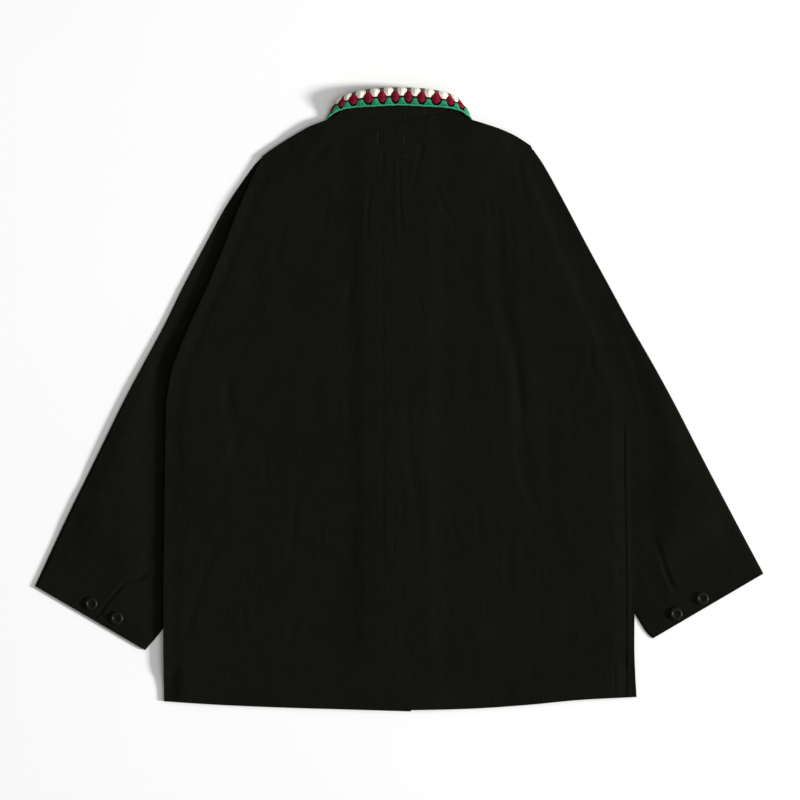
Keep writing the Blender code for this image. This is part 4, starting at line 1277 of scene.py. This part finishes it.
def buttonThread(name, spot, low, turned):
    # two passes of thread over each pair of holes
    tubes = []
    across = np.linspace(-1, 1, 9)
    reach = buttonShape["holes"] * threadShape["share"]
    z = low + threadShape["top"] - threadShape["dip"] * np.abs(across) ** 5
    for side in (-1, 1):
        for lift in threadShape["passes"]:
            x, y = spun(across * reach, np.full(9, side * reach + lift), turned)
            tubes.append((np.stack([spot[0] + x, spot[1] + y, z], axis=-1), threadShape["radius"], 6))
    return finishPiece(tubesMesh(name, tubes), blackThread, None)


plastic = buttonMaterial()


def makeButtons():
    model = makeButton()
    places = {}
    for name, spot in buttonSpots.items():
        onFlap = name.endswith("2")
        top = float(sleeveTop(np.array([spot[0]], float), np.array([spot[1]], float))[0])
        places[name] = (*spot, top + (cuffShape["rise"] * 0.8 if onFlap else 0.1))
    for number, y in enumerate(frontButtonYs, 1):
        places[f"front_button_{number}"] = (centreBack["buttonLine"], y, 0.05)
    for number, (name, (x, y, low)) in enumerate(places.items()):
        button = model.copy()
        button.data = model.data.copy()
        button.name = button.data.name = name + "_turned"
        bpy.context.scene.collection.objects.link(button)
        turned = 0.3 + number * 0.9
        hidden = name.startswith("front")
        scale = buttonShape["hiddenScale"] if hidden else 1.0
        verts = np.zeros(len(button.data.vertices) * 3)
        button.data.vertices.foreach_get("co", verts)
        verts = verts.reshape(-1, 3)
        turnedX, turnedY = spun(verts[:, 0], verts[:, 1], turned)
        z = verts[:, 2] * scale
        if hidden:
            z = buttonShape["hiddenTop"] * mm - z
        placed = np.stack([turnedX + x * mm, turnedY + y * mm, z + low * mm], axis=-1)
        button.data.vertices.foreach_set("co", placed.ravel())
        button.data.update()
        if hidden:
            button.data.flip_normals()
        finishPiece(button, plastic, name)
        if not hidden:
            buttonThread(name + "_thread", (x, y), low, turned)
    bpy.data.objects.remove(model)


makeButtons()
print("cuffs and buttons made")


# Sewing: rows of separate stitches on the cloth's top
sewing = {
    "stitch": 2.5, "gap": 0.75, "radius": 0.26, "rise": 0.12, "dip": 0.45, "cuffInset": 3, "cuffRow": 5.5,
    "flapInset": 3.2,
}
stitchLines = {
    "hem_stitches": [[
        (-316, -380.5), (-243, -383), (-147, -384.5), (-51, -385), (22, -385), (128, -384), (248, -380),
        (318, -376.5),
    ]],
    "back_seam_stitches": [[(row, -420), (row, 0), (row, 377)] for row in seamRows],
    "label_stitches": [
        [(-30, 367), (-29.5, 349)], [(-29, 366.5), (-27.6, 366)], [(-36, 328.6), (-36, 327)],
        [(6, 360), (6, 349)], [(5.8, 341.6), (5.8, 340)], [(9.2, 334.8), (9.2, 333.2)],
    ],
    "side_seam_stitches": [[(311.5, -40), (312.5, -120), (313.5, -220), (314, -320), (314.5, -376)]],
    "vent_tack": [[(309, -382.6), (320.5, -382.2)], [(309, -383.5), (320.5, -383.1)]],
}


def surfaceHeight(x, y, kind):
    if kind == "back":
        lapped = backSeam["step"] * faded(backSeam, stepEdge=x)
        return backTop(x, y) + sewnDetail(x, y) + lapped * (x > centreBack["x"] - backSeam["lap"])
    return sleeveTop(x, y)


def stitchRow(points, kind, lift=0.0):
    line = smoothLine(points)
    pitch = sewing["stitch"] + sewing["gap"]
    starts = np.arange(max(1, int(line.length / pitch)))[:, None] * pitch
    share = (starts + np.linspace(0, sewing["stitch"], 5)) / line.length
    spots = line(share.ravel())
    z = surfaceHeight(spots[:, 0], spots[:, 1], kind) + lift
    stitches = np.column_stack([spots, z]).reshape(-1, 5, 3)
    stitches[..., 2] += sewing["rise"] - sewing["dip"] * np.abs(np.linspace(-1, 1, 5)) ** 3
    radii = sewing["radius"] * np.array([0.7, 1, 1, 1, 0.7])
    return [(stitch, radii, 5) for stitch in stitches]


def makeSewing():
    for name, rows in stitchLines.items():
        tubes = [tube for row in rows for tube in stitchRow(row, "back")]
        thread = paleThread if name == "label_stitches" else blackThread
        finishPiece(tubesMesh(name, tubes), thread, None)
    for side in sides:
        cut = sleeveCut[side]
        start, end = np.array(cut["cuffOuter"], float), np.array(cut["cuffInner"], float)
        along = unit(end - start)
        up = np.array([-along[1], along[0]])
        up = up * np.sign(up[1]) * sewing["cuffRow"]
        inset = along * sewing["cuffInset"]
        row = [tuple(spot + up) for spot in (start + inset, (start + end) / 2, end - inset)]
        tubes = stitchRow(row, "sleeve")
        low, far, high = [np.array(spot, float) for spot in cuffShape[side][:3]]
        inset = unit(far - low) * sewing["flapInset"]
        edge = [tuple(low * (1 - share) + high * share + inset) for share in (0.04, 0.5, 0.8)]
        tubes += stitchRow(edge, "sleeve", cuffShape["rise"] - 0.1)
        finishPiece(tubesMesh(f"cuff_stitches_{side}", tubes), blackThread, None)


makeSewing()
print("sewing made")


# Floor, light and camera
stageSetup = {
    "floorSize": 8.0, "floorColour": (0.90, 0.90, 0.895),
    "sunWay": (0.93, -0.10, 0.34), "sunWidth": 10.0, "sunPower": 5.2,
    "fillPlace": (1.5, 0.3, 2.4), "fillSize": 2.0, "fillPower": 26.0,
    "world": 0.32,
    "cameraHeight": 7.0, "pictureWidth": 1.096, "lookAt": (0.001, -0.0003),
}


def makeStage():
    bpy.ops.mesh.primitive_plane_add(size=stageSetup["floorSize"], location=(0, 0, -0.0002))
    floor = bpy.context.object
    floor.name = "floor"
    material, tree, shader = newMaterial("paleFloor", 0.7, 0.2)
    place = addNode(tree, "ShaderNodeTexCoord")
    shade = timesPlus(tree, noiseNode(tree, place.outputs["Object"], 2.0), 0.04, 0.98)
    shadedColour(tree, shader, shade, stageSetup["floorColour"], 0.9, 1.1)
    floor.data.materials.append(material)
    sun = bpy.data.lights.new("sun", "SUN")
    sun.energy = stageSetup["sunPower"]
    sun.angle = math.radians(stageSetup["sunWidth"])
    fill = bpy.data.lights.new("fill", "AREA")
    fill.size = stageSetup["fillSize"]
    fill.energy = stageSetup["fillPower"]
    for light, spot in ((sun, stageSetup["sunWay"]), (fill, stageSetup["fillPlace"])):
        lamp = linkedObject(light.name, light)
        lamp.location = spot
        lamp.rotation_euler = (-Vector(spot)).to_track_quat("-Z", "Y").to_euler()
    world = bpy.data.worlds.new("studio")
    world.use_nodes = True
    world.node_tree.nodes["Background"].inputs[0].default_value = (1, 1, 1, 1)
    world.node_tree.nodes["Background"].inputs[1].default_value = stageSetup["world"]
    bpy.context.scene.world = world
    lens = bpy.data.cameras.new("camera")
    lens.lens = lens.sensor_width * stageSetup["cameraHeight"] / stageSetup["pictureWidth"]
    camera = linkedObject("camera", lens)
    camera.location = (*stageSetup["lookAt"], stageSetup["cameraHeight"])
    bpy.context.scene.camera = camera
    bpy.context.scene.view_settings.view_transform = "Standard"


makeStage()
print("stage ready")
